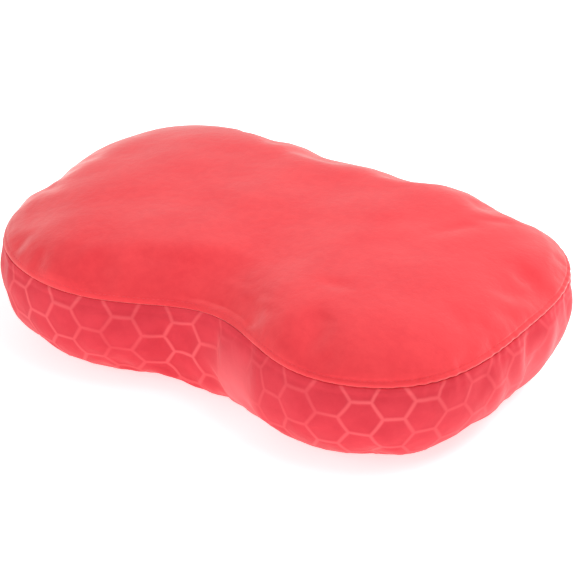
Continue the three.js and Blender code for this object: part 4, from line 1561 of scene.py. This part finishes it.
# ---- Bladder and foam ----
@dataclass
class Bladder:
    """The airtight film and the foam inside it. Both follow the cover, and are pressed in behind the zip."""

    cover: Cover
    film: float = 0.0006
    gap: float = 0.0003
    slope: float = 0.35
    margin: float = 0.012
    hollow: float = 0.012
    beyond: float = 0.25
    columns: int = 200

    def __post_init__(self) -> None:
        """Takes the layers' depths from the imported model."""
        self.shape = self.cover.shape
        self.core = self.shape.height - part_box("foam_core")[1].z
        self.depth = self.core - self.film - self.gap

    def pressed(self, points: np.ndarray) -> np.ndarray:
        """The same points, moved in where the zip's slider needs room."""
        low, high = self.cover.zip_low, self.cover.zip_high
        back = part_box("zip_slider")[0].y - self.gap
        past = np.maximum(np.abs(points[:, 0]) - high.x - self.margin, 0)
        off = np.maximum(np.abs(points[:, 2] - self.cover.zip_middle) - (high.z - low.z) / 2 - 0.004, 0)
        out = points.copy()
        out[:, 1] -= np.maximum(points[:, 1] - back - self.slope * (past + off), 0)
        return out

    def crown_loops(self, inset: float) -> list[np.ndarray]:
        """Loops of the upper layer, from its rim to near the middle."""
        run = self.shape.crown_curve(inset)[0][-1]
        steps = run * 0.97 * np.linspace(0, 1, 34) ** 1.3
        loops = [self.cover.loop(Panel.CROWN, t, self.columns, inset) for t in steps]
        for loop in loops:
            loop[:, 2] += self.gap / 2
        return loops

    def wall_loops(self, inset: float) -> list[np.ndarray]:
        """Loops of the lower layer, from its rim down."""
        run = self.shape.wall_curve(inset)[0][-1]
        loops = [self.cover.loop(Panel.WALL, t, self.columns, inset) for t in np.linspace(0, run, 30)]
        loops[0][:, 2] -= self.gap / 2
        return [self.pressed(loop) for loop in loops]

    def floor_loops(self, inset: float) -> list[np.ndarray]:
        """Loops of the flat underside, from its rim to near the middle."""
        rim = self.shape.ring(Panel.BASE, 0, self.columns, inset)
        return [rim * (s, s, 1) for s in (0.8, 0.5, 0.2, 0.05)]

    def cut(self, obj: bpy.types.Object, radius: float, low: float, high: float) -> None:
        """Cuts a round hole along X at the valve, between two places."""
        box_low, box_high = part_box("valve_base")
        height = box_low.z + (box_high.y - box_low.y) / 2
        carve(obj, bore("hole_cutter", radius, low, high, (0, 0, height), math.pi / 2))

    def build(self, film: bpy.types.Material, foam: bpy.types.Material) -> list[bpy.types.Object]:
        """Makes and dresses the two films and the foam."""
        low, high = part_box("valve_base")
        radius = (high.y - low.y) / 2 + self.gap
        upper_sheet = Sheet(self.crown_loops(self.depth))
        upper = mesh_object("bladder_upper", upper_sheet.points(), upper_sheet.faces())
        thicken(upper, self.film)
        settle(upper)
        lower_sheet = Sheet([*self.wall_loops(self.depth), *self.floor_loops(self.depth)])
        lower = mesh_object("bladder_lower", lower_sheet.points(), lower_sheet.faces(flip=True))
        thicken(lower, self.film)
        self.cut(lower, radius, -self.beyond, high.x)
        core = [*reversed(self.crown_loops(self.core)), *self.wall_loops(self.core)]
        core_sheet = Sheet([*core, *self.floor_loops(self.core)])
        points, faces = core_sheet.points(), core_sheet.faces(flip=True)
        faces += [(k, (k + 1) % self.columns, len(points)) for k in range(self.columns)]
        body = mesh_object("foam_body", np.vstack([points, core[0].mean(0)]), faces)
        self.cut(body, radius, -self.beyond, high.x + self.hollow)
        return [
            fit(upper, film, "bladder_film", "bladder_upper_sheet", fill=0.9),
            fit(lower, film, "bladder_film", "bladder_lower_shell", fill=0.9),
            fit(body, foam, "foam", "foam_core", fill=0.9),
        ]


# ---- Hard parts ----
def eased(outline: Sequence[tuple[float, float]], inset: float) -> np.ndarray:
    """An anticlockwise outline drawn in by a small distance."""
    pts = np.array(outline, float)
    before, after = pts - np.roll(pts, 1, 0), np.roll(pts, -1, 0) - pts
    before /= np.maximum(np.linalg.norm(before, axis=1), 1e-9)[:, None]
    after /= np.maximum(np.linalg.norm(after, axis=1), 1e-9)[:, None]
    run = before + after
    run /= np.maximum(np.linalg.norm(run, axis=1), 1e-9)[:, None]
    return pts - inset * np.stack([run[:, 1], -run[:, 0]], 1)


def plate(
    outline: Sequence[tuple[float, float]],
    low: float,
    high: float,
    ease: float,
    hole: Sequence[tuple[float, float]] | None = None,
) -> tuple[np.ndarray, list]:
    """A flat part with eased edges.

    Args:
        outline: Its outline, anticlockwise.
        low: Its lower face.
        high: Its upper face.
        ease: How much each edge is chamfered.
        hole: An opening with as many points as the outline, in step with it.

    Returns:
        Points and faces.
    """
    count = len(outline)
    levels = [(low, ease), (low + ease, 0.0), (high - ease, 0.0), (high, ease)]
    rings = [(eased(outline, inset), z) for z, inset in levels]
    if hole is not None:
        rings += [(eased(hole, -inset), z) for z, inset in reversed(levels)]
    points = np.vstack([np.column_stack([flat, np.full(count, z)]) for flat, z in rings])
    faces = woven(len(rings), count, tube=hole is not None)
    if hole is None:
        faces += [tuple(reversed(range(count))), tuple(range(3 * count, 4 * count))]
    return points, faces


def rounded_outline(
    left: float, low: float, right: float, high: float, radius: float, steps: int = 5
) -> list[tuple[float, float]]:
    """A rectangle with round corners, anticlockwise."""
    r = min(radius, (right - left) / 2, (high - low) / 2)
    out = []
    for cx, cy, start in (
        (right - r, low + r, -90),
        (right - r, high - r, 0),
        (left + r, high - r, 90),
        (left + r, low + r, 180),
    ):
        for k in range(steps + 1):
            a = math.radians(start + 90 * k / steps)
            out.append((cx + r * math.cos(a), cy + r * math.sin(a)))
    return out


@dataclass
class Hinge:
    """A bar between two ears, and the knuckle that turns on it. Millimetres."""

    out: float
    rise: float
    bar: float
    knuckle: float
    half: float
    ear: float
    reach: float
    clearance: float = 0.25
    gap: float = 0.3
    foot: float = 0.45

    def ears(self, side: int, foot_from: float, low: float, top: float) -> list:
        """Two ears on feet, with the bar between them.

        Args:
            side: 1 towards local +X, -1 towards -X.
            foot_from: Where the feet start.
            low: Their lower face.
            top: The ears' upper face.

        Returns:
            The closed forms.
        """
        inner = self.half + 2 * self.gap
        outer = inner + self.ear
        near, far = self.out - self.knuckle, self.out + self.reach
        parts = []
        for sign in (1, -1):
            y0, y1 = sorted((sign * inner, sign * outer))
            profile = [(near, low), (far, low)]
            for k in range(9):
                a = math.radians(180 * k / 8)
                middle, radius = (near + far) / 2, (far - near) / 2
                rise = top - radius * 0.55 + radius * 0.55 * math.sin(a)
                profile.append((middle + radius * math.cos(a), rise))
            flat, faces = plate(profile, y0, y1, 0.22)
            points = np.column_stack([side * flat[:, 0], flat[:, 2], flat[:, 1]])
            if side > 0:
                faces = [list(reversed(f)) for f in faces]
            parts.append((points, faces))
            x0, x1 = sorted((side * foot_from, side * far))
            parts.append(soft_box((x0, y0, low), (x1, y1, low + self.foot), 0.12))
        reach = inner + self.ear / 2
        parts.append(rod((side * self.out, -reach, self.rise), (side * self.out, reach, self.rise), self.bar))
        return parts

    def turning(self, side: int, strap_from: float, low: float, high: float) -> list:
        """The knuckle, bored for the bar, and its strap."""
        inner = self.bar + self.clearance
        knuckle, half = self.knuckle, self.half
        profile = [(inner, -half), (knuckle, -half), (knuckle, half), (inner, half)]
        points, faces = lathe(rounded(profile, 0.25, 2), 36)
        points = np.column_stack([points[:, 0], points[:, 2], -points[:, 1]])
        points += np.array([side * self.out, 0, self.rise])
        x0, x1 = sorted((side * strap_from, side * (self.out - inner - 0.15)))
        return [(points, faces), soft_box((x0, -self.half, low), (x1, self.half, high), 0.15)]


class RibTree(NodeTree):
    """Small ribs that point outwards from the axis, one at each point of a mesh."""

    def __init__(self) -> None:
        """Builds the tree."""
        super().__init__("cap_ribs")
        length, width, height = self.floats(Rib_Length=0.002, Rib_Width=0.0006, Rib_Height=0.0003)
        material = self.input("Material", "NodeSocketMaterial")
        size = self.add("ShaderNodeCombineXYZ", X=length, Y=width, Z=height).outputs[0]
        place = self.add("GeometryNodeInputPosition").outputs[0]
        align = self.add("FunctionNodeAlignRotationToVector", axis="X", pivot_axis="Z", Vector=place)
        self.scatter(self.source.outputs["Geometry"], 0.5, align.outputs["Rotation"], size, material)


@dataclass
class Valve:
    """The flat two-stage valve. Local millimetres: +Z out of the pillow, +X up, 0 on the rim."""

    bore: float = 10.2
    neck: float = 12.5
    throat: float = 8.4
    flange: float = 17.0
    flange_thick: float = 2.0893
    proud: float = 0.8
    seat: float = 2.9
    plate: float = 1.3
    skirt: float = 9.8
    inlet: float = 6.0
    cap_radius: float = 12.3
    edge_section: Point = (0.00055, 0.00085, 0.00035)
    small_radius: float = 8.4
    gap: float = 0.3
    base_hinge: Hinge = field(default_factory=lambda: Hinge(14.4, 1.2, 0.8, 1.7, 2, 1.4, 1.4))
    cap_hinge: Hinge = field(default_factory=lambda: Hinge(10.2, 3.2, 0.65, 1.3, 1.8, 1.2, 1.4))

    def __post_init__(self) -> None:
        """Takes the valve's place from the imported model."""
        low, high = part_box("valve_base")
        _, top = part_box("valve_port_binding")
        self.back = -(high.x - self.rim_x()) / MM
        self.face = self.back + self.flange_thick
        centre = (low.y + high.y) / 2
        self.matrix = Matrix(
            ((0, 0, -1, self.rim_x()), (0, 1, 0, centre), (1, 0, 0, self.height()), (0, 0, 0, 1))
        )

    def rim_x(self) -> float:
        """Where the rim is along X."""
        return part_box("valve_port_binding")[0].x - self.proud * MM

    def height(self) -> float:
        """The height of the valve's axis."""
        low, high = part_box("valve_seal_ring")
        return (low.z + high.z) / 2

    def base(self) -> bpy.types.Object:
        """Flange, neck, ledge and the hinge's ears."""
        profile = [
            (self.throat, self.back),
            (self.flange, self.back),
            (self.flange, self.face),
            (self.neck, self.face),
            (self.neck, 0),
            (self.bore, 0),
            (self.bore, -self.seat),
            (self.throat, -self.seat),
        ]
        parts = [lathe(rounded(profile, 0.35))]
        parts += self.base_hinge.ears(1, self.neck - 1, -0.45, 2.4)
        return assembled("valve_body", parts, self.matrix)

    def seal(self) -> bpy.types.Object:
        """The silicone ring on the ledge."""
        low = -self.seat + self.gap
        outer = self.bore - self.gap
        profile = [(outer - 0.9, low), (outer, low), (outer, low + 0.8), (outer - 0.9, low + 0.8)]
        return assembled("valve_ring", [lathe(rounded(profile, 0.34, 4))], self.matrix, 60)

    def wide_cap(self) -> bpy.types.Object:
        """The cap with the inflation port, its web, lip and hinges."""
        top, plug = self.gap + self.plate, -1.5
        profile = [
            (self.inlet, plug),
            (self.skirt, plug),
            (self.skirt, self.gap),
            (self.cap_radius, self.gap),
            (self.cap_radius, top - 0.25),
            (self.cap_radius - 0.9, top),
            (9.0, top),
            (8.9, top - 0.22),
            (self.inlet + 0.3, top - 0.22),
            (self.inlet, top - 0.4),
        ]
        web = plug + 0.6
        reach = self.inlet + 0.5
        parts = [lathe(rounded(profile, 0.28))]
        spokes = ((-reach, -1.9), (1.9, reach))
        parts += [soft_box((a, -0.8, plug), (b, 0.8, web), 0.12) for a, b in spokes]
        parts += [soft_box((-0.8, a, plug), (0.8, b, web), 0.12) for a, b in spokes]
        parts.append(lathe(rounded([(1.2, plug), (2.2, plug), (2.2, web), (1.2, web)], 0.12), 40))
        lip = rounded_outline(-self.cap_radius - 3, -4, -self.cap_radius + 1, 4, 2.2, 7)
        parts.append(plate(lip, self.gap + 0.2, top, 0.25))
        parts += self.cap_hinge.ears(-1, self.cap_hinge.out - self.cap_hinge.knuckle, top - 0.3, 4.1)
        parts += self.base_hinge.turning(1, self.cap_radius - 0.8, self.gap, top)
        return assembled("deflate_cap_body", parts, self.matrix)

    def small_cap(self) -> bpy.types.Object:
        """The cap that plugs the inflation port, dished on top."""
        low = 2 * self.gap + self.plate
        top = low + 1.1
        stem = self.inlet - 0.4
        profile = [
            (0, low - 1.1),
            (stem, low - 1.1),
            (stem, low),
            (self.small_radius, low),
            (self.small_radius, top - 0.2),
            (self.small_radius - 0.6, top),
            (self.small_radius - 1.7, top),
            (self.small_radius - 2.3, top - 0.3),
            (1.2, top - 0.42),
            (0, top - 0.42),
        ]
        parts = [lathe(rounded(profile, 0.3))]
        lip = rounded_outline(self.small_radius - 1, -2.5, self.small_radius + 2.4, 2.5, 1.6, 7)
        parts.append(plate(lip, low + 0.2, top - 0.2, 0.2))
        parts += self.cap_hinge.turning(-1, self.small_radius - 0.9, low, top)
        return assembled("inflate_cap_body", parts, self.matrix)

    def disc(self) -> bpy.types.Object:
        """The non-return disc, with its stem and head."""
        top = -1.5 - self.gap
        head = -1.5 + 0.6 + 0.9
        profile = [
            (0, top - 0.5),
            (self.inlet + 1.6, top - 0.5),
            (self.inlet + 1.6, top),
            (0.9, top),
            (0.9, head),
            (1.5, head),
            (1.5, head + 0.5),
            (0, head + 0.5),
        ]
        return assembled("check_disc_body", [lathe(rounded(profile, 0.2))], self.matrix, 60)

    def ribs(self, tree: RibTree, material: bpy.types.Material) -> bpy.types.Object:
        """Grip ribs round the wide cap's edge, away from the hinges."""
        angles = [a for a in range(0, 360, 6) if 22 <= a <= 138 or 222 <= a <= 338]
        radius = self.cap_radius - 1.9
        turns = [math.radians(a) for a in angles]
        mesh = bpy.data.meshes.new("cap_ribs")
        mesh.from_pydata([(radius * math.cos(a) * MM, radius * math.sin(a) * MM, 0.0) for a in turns], [], [])
        obj = linked("deflate_cap_ribs", mesh)
        tree.run(obj, Rib_Length=0.0022, Rib_Width=0.0006, Rib_Height=0.0006, Material=material)
        lift = Matrix.Translation((0, 0, (self.gap + self.plate) * MM))
        obj.data.transform(self.matrix @ lift)
        return obj

    def port_edge(self, shape: PillowShape) -> bpy.types.Object:
        """The bound edge of the cover's hole, a ring that follows the wall of the pillow's form."""
        middle, count = self.height(), 96
        half, thick, out = self.edge_section
        run, _, heights = shape.wall_curve(0)
        loops = []
        for turn in (2 * math.pi * k / 10 for k in range(10)):
            radius = (self.neck + 0.95) * MM + half * math.cos(turn)
            ring = []
            for a in (2 * math.pi * j / count for j in range(count)):
                y, z = radius * math.cos(a), middle + radius * math.sin(a)
                loop = shape.ring(Panel.WALL, float(np.interp(-z, -heights, run)), shape.columns)
                left = loop[loop[:, 0] < -0.1]
                order = np.argsort(left[:, 1])
                x = float(np.interp(y, left[order, 1], left[order, 0]))
                ring.append((x + out - thick * math.sin(turn), y, z))
            loops.append(np.array(ring))
        return band_object("valve_port_edge", loops)

    def build(self, shape: PillowShape, tree: RibTree, paint: Paint) -> list[bpy.types.Object]:
        """Makes and dresses the valve's pieces, each on its own body."""
        grey = paint["cap_plastic"]
        made = [fit(self.ribs(tree, grey), grey, "cap_plastic", body="deflate_cap")]
        for obj, slot, body, node in (
            (self.base(), "valve_plastic", "pillow", "valve_base"),
            (self.seal(), "silicone", "pillow", "valve_seal_ring"),
            (self.wide_cap(), "cap_plastic", "deflate_cap", "valve_deflate_cap"),
            (self.small_cap(), "valve_plastic", "inflate_cap", "valve_inflate_cap"),
            (self.disc(), "silicone", "check_disc", "valve_check_disc"),
            (self.port_edge(shape), "binding_tape", "pillow", "valve_port_binding"),
        ):
            made.append(fit(obj, paint[slot], slot, node, body))
        return made


@dataclass
class Zip:
    """The rear coil zip. Local millimetres: +X to the end with the top stops, +Y up, 0 on the tapes' face."""

    coil_length: float = 173.6
    split: float = 0.4
    coil_outer: float = 2.9
    coil_low: float = 0.3
    coil_high: float = 1.9
    wire: float = 0.32
    turns: int = 134
    tape_end: float = 100.0
    tape_thick: float = 0.6
    stop_outer: float = 3.7
    gap: float = 0.3
    slider_length: float = 11.0
    slider_half: float = 4.3
    plate_thick: float = 1.0

    def __post_init__(self) -> None:
        """Takes the zip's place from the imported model."""
        low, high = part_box("zip_tape_lower")[0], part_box("zip_tape_upper")[1]
        middle = (low.z + high.z) / 2
        self.matrix = Matrix(((-1, 0, 0, 0), (0, 0, 1, high.y), (0, 1, 0, middle), (0, 0, 0, 1)))
        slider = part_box("zip_slider")
        self.slider_at = -(slider[0].x + slider[1].x) / 2 / MM

    def tape(self, side: int) -> bpy.types.Object:
        """One woven tape, thicker along the edge that holds its coil."""
        rows = [0.7, 1.4, 2.9, 4.4, 6.5, 9.0, 10.7, 11.1]
        lift = [-0.06, 0.0, 0.0, -0.04, -0.08, -0.05, -0.04, -0.2]
        count = 121
        x = np.linspace(-self.tape_end, self.tape_end, count)
        section = [*zip(rows, lift), *((y, -self.tape_thick) for y in reversed(rows))]
        loops = [np.column_stack([x, np.full(count, side * y), np.full(count, z)]) for y, z in section]
        faces = woven(len(loops), count, ring=False)
        faces.append(tuple(reversed([row * count for row in range(len(loops))])))
        faces.append(tuple(row * count + count - 1 for row in range(len(loops))))
        if side < 0:
            faces = [tuple(reversed(f)) for f in faces]
        name = "zip_tape_band_upper" if side > 0 else "zip_tape_band_lower"
        return assembled(name, [(np.vstack(loops), faces)], self.matrix)

    def coil(self, side: int, tree: CoilTree, nylon: bpy.types.Material) -> bpy.types.Object:
        """One wound coil."""
        name = "zip_teeth_upper" if side > 0 else "zip_teeth_lower"
        obj = path_object(name, np.array([(0, 0, 0), (0, 0, 0.001)]), False)
        wide = (self.coil_outer - self.split) / 2 - self.wire
        thick = (self.coil_high - self.coil_low) / 2 - self.wire
        length = self.coil_length - 2 * self.wire
        tree.run(
            obj,
            Turns=float(self.turns),
            Half_Width=wide * MM,
            Half_Thickness=thick * MM,
            Length=length * MM,
            Wire_Radius=self.wire * MM,
            Material=nylon,
        )
        across = (self.coil_outer + self.split) / 2 * side * MM
        rise = (self.coil_low + self.coil_high) / 2 * MM
        start = -side * length / 2 * MM
        lay = Matrix(((0, 0, side, start), (side, 0, 0, across), (0, 1, 0, rise), (0, 0, 0, 1)))
        obj.data.transform(self.matrix @ lay)
        return obj

    def stop(self, name: str, left: float, low: float, right: float, high: float) -> bpy.types.Object:
        """A crimped metal stop."""
        outline = rounded_outline(left, low, right, high, 0.6)
        return assembled(name, [plate(outline, self.coil_low, self.coil_high, 0.3)], self.matrix)

    def slider(self) -> bpy.types.Object:
        """The slider: two waisted plates, flanges, the divider and the bridge for the pull."""
        half, edge = self.slider_length / 2, self.slider_half
        low = self.coil_high + self.gap
        back = -self.tape_thick - self.gap
        body = []
        for k in range(48):
            a = 2 * math.pi * k / 48
            c, s = math.cos(a), math.sin(a)
            x = half * math.copysign(abs(c) ** 0.45, c)
            y = edge * math.copysign(abs(s) ** 0.4, s) * (1 - 0.10 * (0.5 - x / half / 2) ** 2)
            body.append((x, y))
        parts = [
            plate(body, low, low + self.plate_thick, 0.28),
            plate(body, back - self.plate_thick, back, 0.28),
        ]
        for sign in (1, -1):
            y0, y1 = sorted((sign * (edge - 1.1), sign * (edge - 0.12)))
            flange = rounded_outline(-half + 1.2, y0, half - 1.2, y1, 0.4)
            parts.append(plate(flange, self.gap, low + 0.2, 0.15))
        parts.append(plate(rounded_outline(1.5, -0.35, 3.5, 0.35, 0.3), back - 0.2, low + 0.2, 0.05))
        top = low + self.plate_thick
        arch = [(-3.1, top - 0.2), (-2.1, top - 0.2), (-2.1, top + 1.7), (2.1, top + 1.7), (2.1, top - 0.2)]
        arch += [(3.1, top - 0.2), (3.1, top + 2.1), (2.5, top + 2.5), (-2.5, top + 2.5), (-3.1, top + 2.1)]
        flat, faces = plate(arch, -1.2, 1.2, 0.2)
        parts.append((flat[:, [0, 2, 1]], [list(reversed(f)) for f in faces]))
        shift = Matrix.Translation((self.slider_at * MM, 0, 0))
        return assembled("zip_slider_body", parts, self.matrix @ shift)

    def pull(self) -> bpy.types.Object:
        """The pull, with an eye that holds the bridge."""
        half, tip, length = 3.2, 2.2, 24.0
        outline = [(0.0, -half), (0.6, -half + 0.7), (0.6, half - 0.7), (0.0, half), (-4.6, half)]
        outline += [(-8.0, half - 0.25), (-12.0, half - 0.6), (-16.5, tip + 0.1), (-20.8, tip)]
        for k in range(1, 8):
            a = math.radians(90 + 180 * k / 8)
            outline.append((-length + 2.6 + 2.6 * math.cos(a), tip * math.sin(a)))
        outline += [(-20.8, -tip), (-16.5, -tip - 0.1), (-12.0, -half + 0.6)]
        outline += [(-8.0, -half + 0.25), (-4.6, -half)]
        ring = self.resampled(outline, 96)
        angles = np.arctan2(ring[:, 1], ring[:, 0] + 2.5)
        eye = []
        for a in angles:
            c, s = math.cos(a), math.sin(a)
            r = ((abs(c) / 1.9) ** 5 + (abs(s) / 1.6) ** 5) ** -0.2
            eye.append((-2.5 + r * c, r * s))
        rise = self.coil_high + self.gap + self.plate_thick + 0.85
        body = plate([tuple(p) for p in ring], rise - 0.6, rise + 0.6, 0.32, eye)
        shift = Matrix.Translation((self.slider_at * MM, 0, 0))
        return assembled("zip_pull_body", [body], self.matrix @ shift)

    @staticmethod
    def resampled(outline: Sequence[tuple[float, float]], count: int) -> np.ndarray:
        """The same closed outline with points evenly along it."""
        pts = np.array([*outline, outline[0]], float)
        run = np.concatenate([[0], np.cumsum(np.linalg.norm(np.diff(pts, axis=0), axis=1))])
        at = np.linspace(0, run[-1], count + 1)[:-1]
        return np.stack([np.interp(at, run, pts[:, 0]), np.interp(at, run, pts[:, 1])], 1)

    def build(self, tree: CoilTree, paint: Paint) -> list[bpy.types.Object]:
        """Makes and dresses the zip's pieces."""
        end, nylon, metal = self.coil_length / 2 + self.gap, "coil_nylon", "slider_metal"
        made = []
        for side, word in ((1, "upper"), (-1, "lower")):
            low, high = sorted((side * 0.7, side * self.stop_outer))
            stop = self.stop(f"zip_stop_{word}", end, low, end + 2.6, high)
            made.append((self.tape(side), "zip_tape", f"zip_tape_{word}"))
            made.append((self.coil(side, tree, paint[nylon]), nylon, f"zip_coil_{word}"))
            made.append((stop, metal, f"zip_top_stop_{word}"))
        stop = self.stop("zip_stop_closed_end", -end - 4, -self.stop_outer, -end, self.stop_outer)
        made.append((stop, metal, "zip_bottom_stop"))
        made.append((self.slider(), metal, "zip_slider", "slider"))
        made.append((self.pull(), metal, "zip_pull_tab", "pull_tab"))
        return [fit(obj, paint[slot], slot, *rest) for obj, slot, *rest in made]


# ---- Studio ----
AIM = Vector((0, 0, 0.05))


@dataclass(frozen=True)
class Lamp:
    """A square soft light, aimed at the pillow."""

    name: str
    at: Point
    size: float
    power: float

    def hang(self) -> None:
        """Adds it to the scene."""
        light = bpy.data.lights.new(self.name, "AREA")
        light.shape, light.size, light.energy = "SQUARE", self.size, self.power
        obj = linked(self.name, light)
        obj.location = self.at
        obj.rotation_euler = (Vector(self.at) - AIM).to_track_quat("Z", "Y").to_euler()


@dataclass
class Studio:
    """The pale floor, the lights and the camera."""

    azimuth: float = 34.52
    elevation: float = 29.417
    distance: float = 1.7478
    lens: float = 153.15
    shift: tuple[float, float] = (0.0084, -0.0230)
    world: float = 0.40
    glow: float = 0.60
    lamps: tuple[Lamp, ...] = (
        Lamp("back", (0.60, 1.5, 1.5), 1.3, 31),
        Lamp("over", (0.8, 0.1, 1.8), 1.2, 11),
        Lamp("front", (-0.95, -2.0, 0.8), 1.8, 15),
        Lamp("side", (1.8, -0.9, 0.6), 1.4, 1.5),
    )

    def camera(self) -> None:
        """Adds the camera."""
        data = bpy.data.cameras.new("camera")
        data.lens, data.sensor_width = self.lens, 36
        data.shift_x, data.shift_y = self.shift
        data.clip_end = 20
        az, el = math.radians(self.azimuth), math.radians(self.elevation)
        back = Vector((math.sin(az) * math.cos(el), -math.cos(az) * math.cos(el), math.sin(el)))
        obj = linked("camera", data)
        obj.location = AIM + back * self.distance
        obj.rotation_euler = back.to_track_quat("Z", "Y").to_euler()
        bpy.context.scene.camera = obj

    def floor(self) -> None:
        """Adds the floor."""
        half = 6.0
        points = np.array([(-half, -half, 0), (half, -half, 0), (half, half, 0), (-half, half, 0)])
        obj = mesh_object("studio_floor", points, [(0, 1, 2, 3)], smooth=False)
        bench = NodeBench("studio_floor")
        tone = bench.blend(bench.noise(3, 2), linear("fdfdfd"), linear("ffffff"))
        bench.set(Roughness=0.95, Specular_IOR_Level=0.0, Base_Color=tone)
        bench.set(Emission_Color=(1, 1, 1, 1), Emission_Strength=self.glow)
        obj.data.materials.append(bench.material)

    def build(self) -> None:
        """Adds everything."""
        self.camera()
        self.floor()
        for lamp in self.lamps:
            lamp.hang()
        world = bpy.data.worlds.new("studio")
        world.use_nodes = True
        sky = world.node_tree.nodes["Background"]
        sky.inputs["Color"].default_value = (1, 1, 1, 1)
        sky.inputs["Strength"].default_value = self.world
        bpy.context.scene.world = world
        bpy.context.scene.view_settings.view_transform = "Standard"


def main() -> None:
    """Builds the pillow's sub-assemblies in order, from the cover inwards, then the studio."""
    logging.basicConfig(level=logging.INFO, format="%(message)s")
    Studio().build()
    paint = {finish.name: finish.make() for finish in PLAIN_FINISHES}
    shape = PillowShape()
    stitches = StitchTree()
    cover = Cover(shape)
    made = cover.build(HEX_SIDE_KNIT.make(), BRUSHED_TOP.make())
    made += Seams(cover).build(stitches, paint)
    made += Bladder(cover).build(paint["bladder_film"], paint["open_cell_foam"])
    made += Valve().build(shape, RibTree(), paint)
    made += Zip().build(CoilTree(), paint)
    for obj in made:
        log.info("%-24s %6d faces", obj.name, len(obj.data.polygons))


if __name__ == "__main__":
    main()
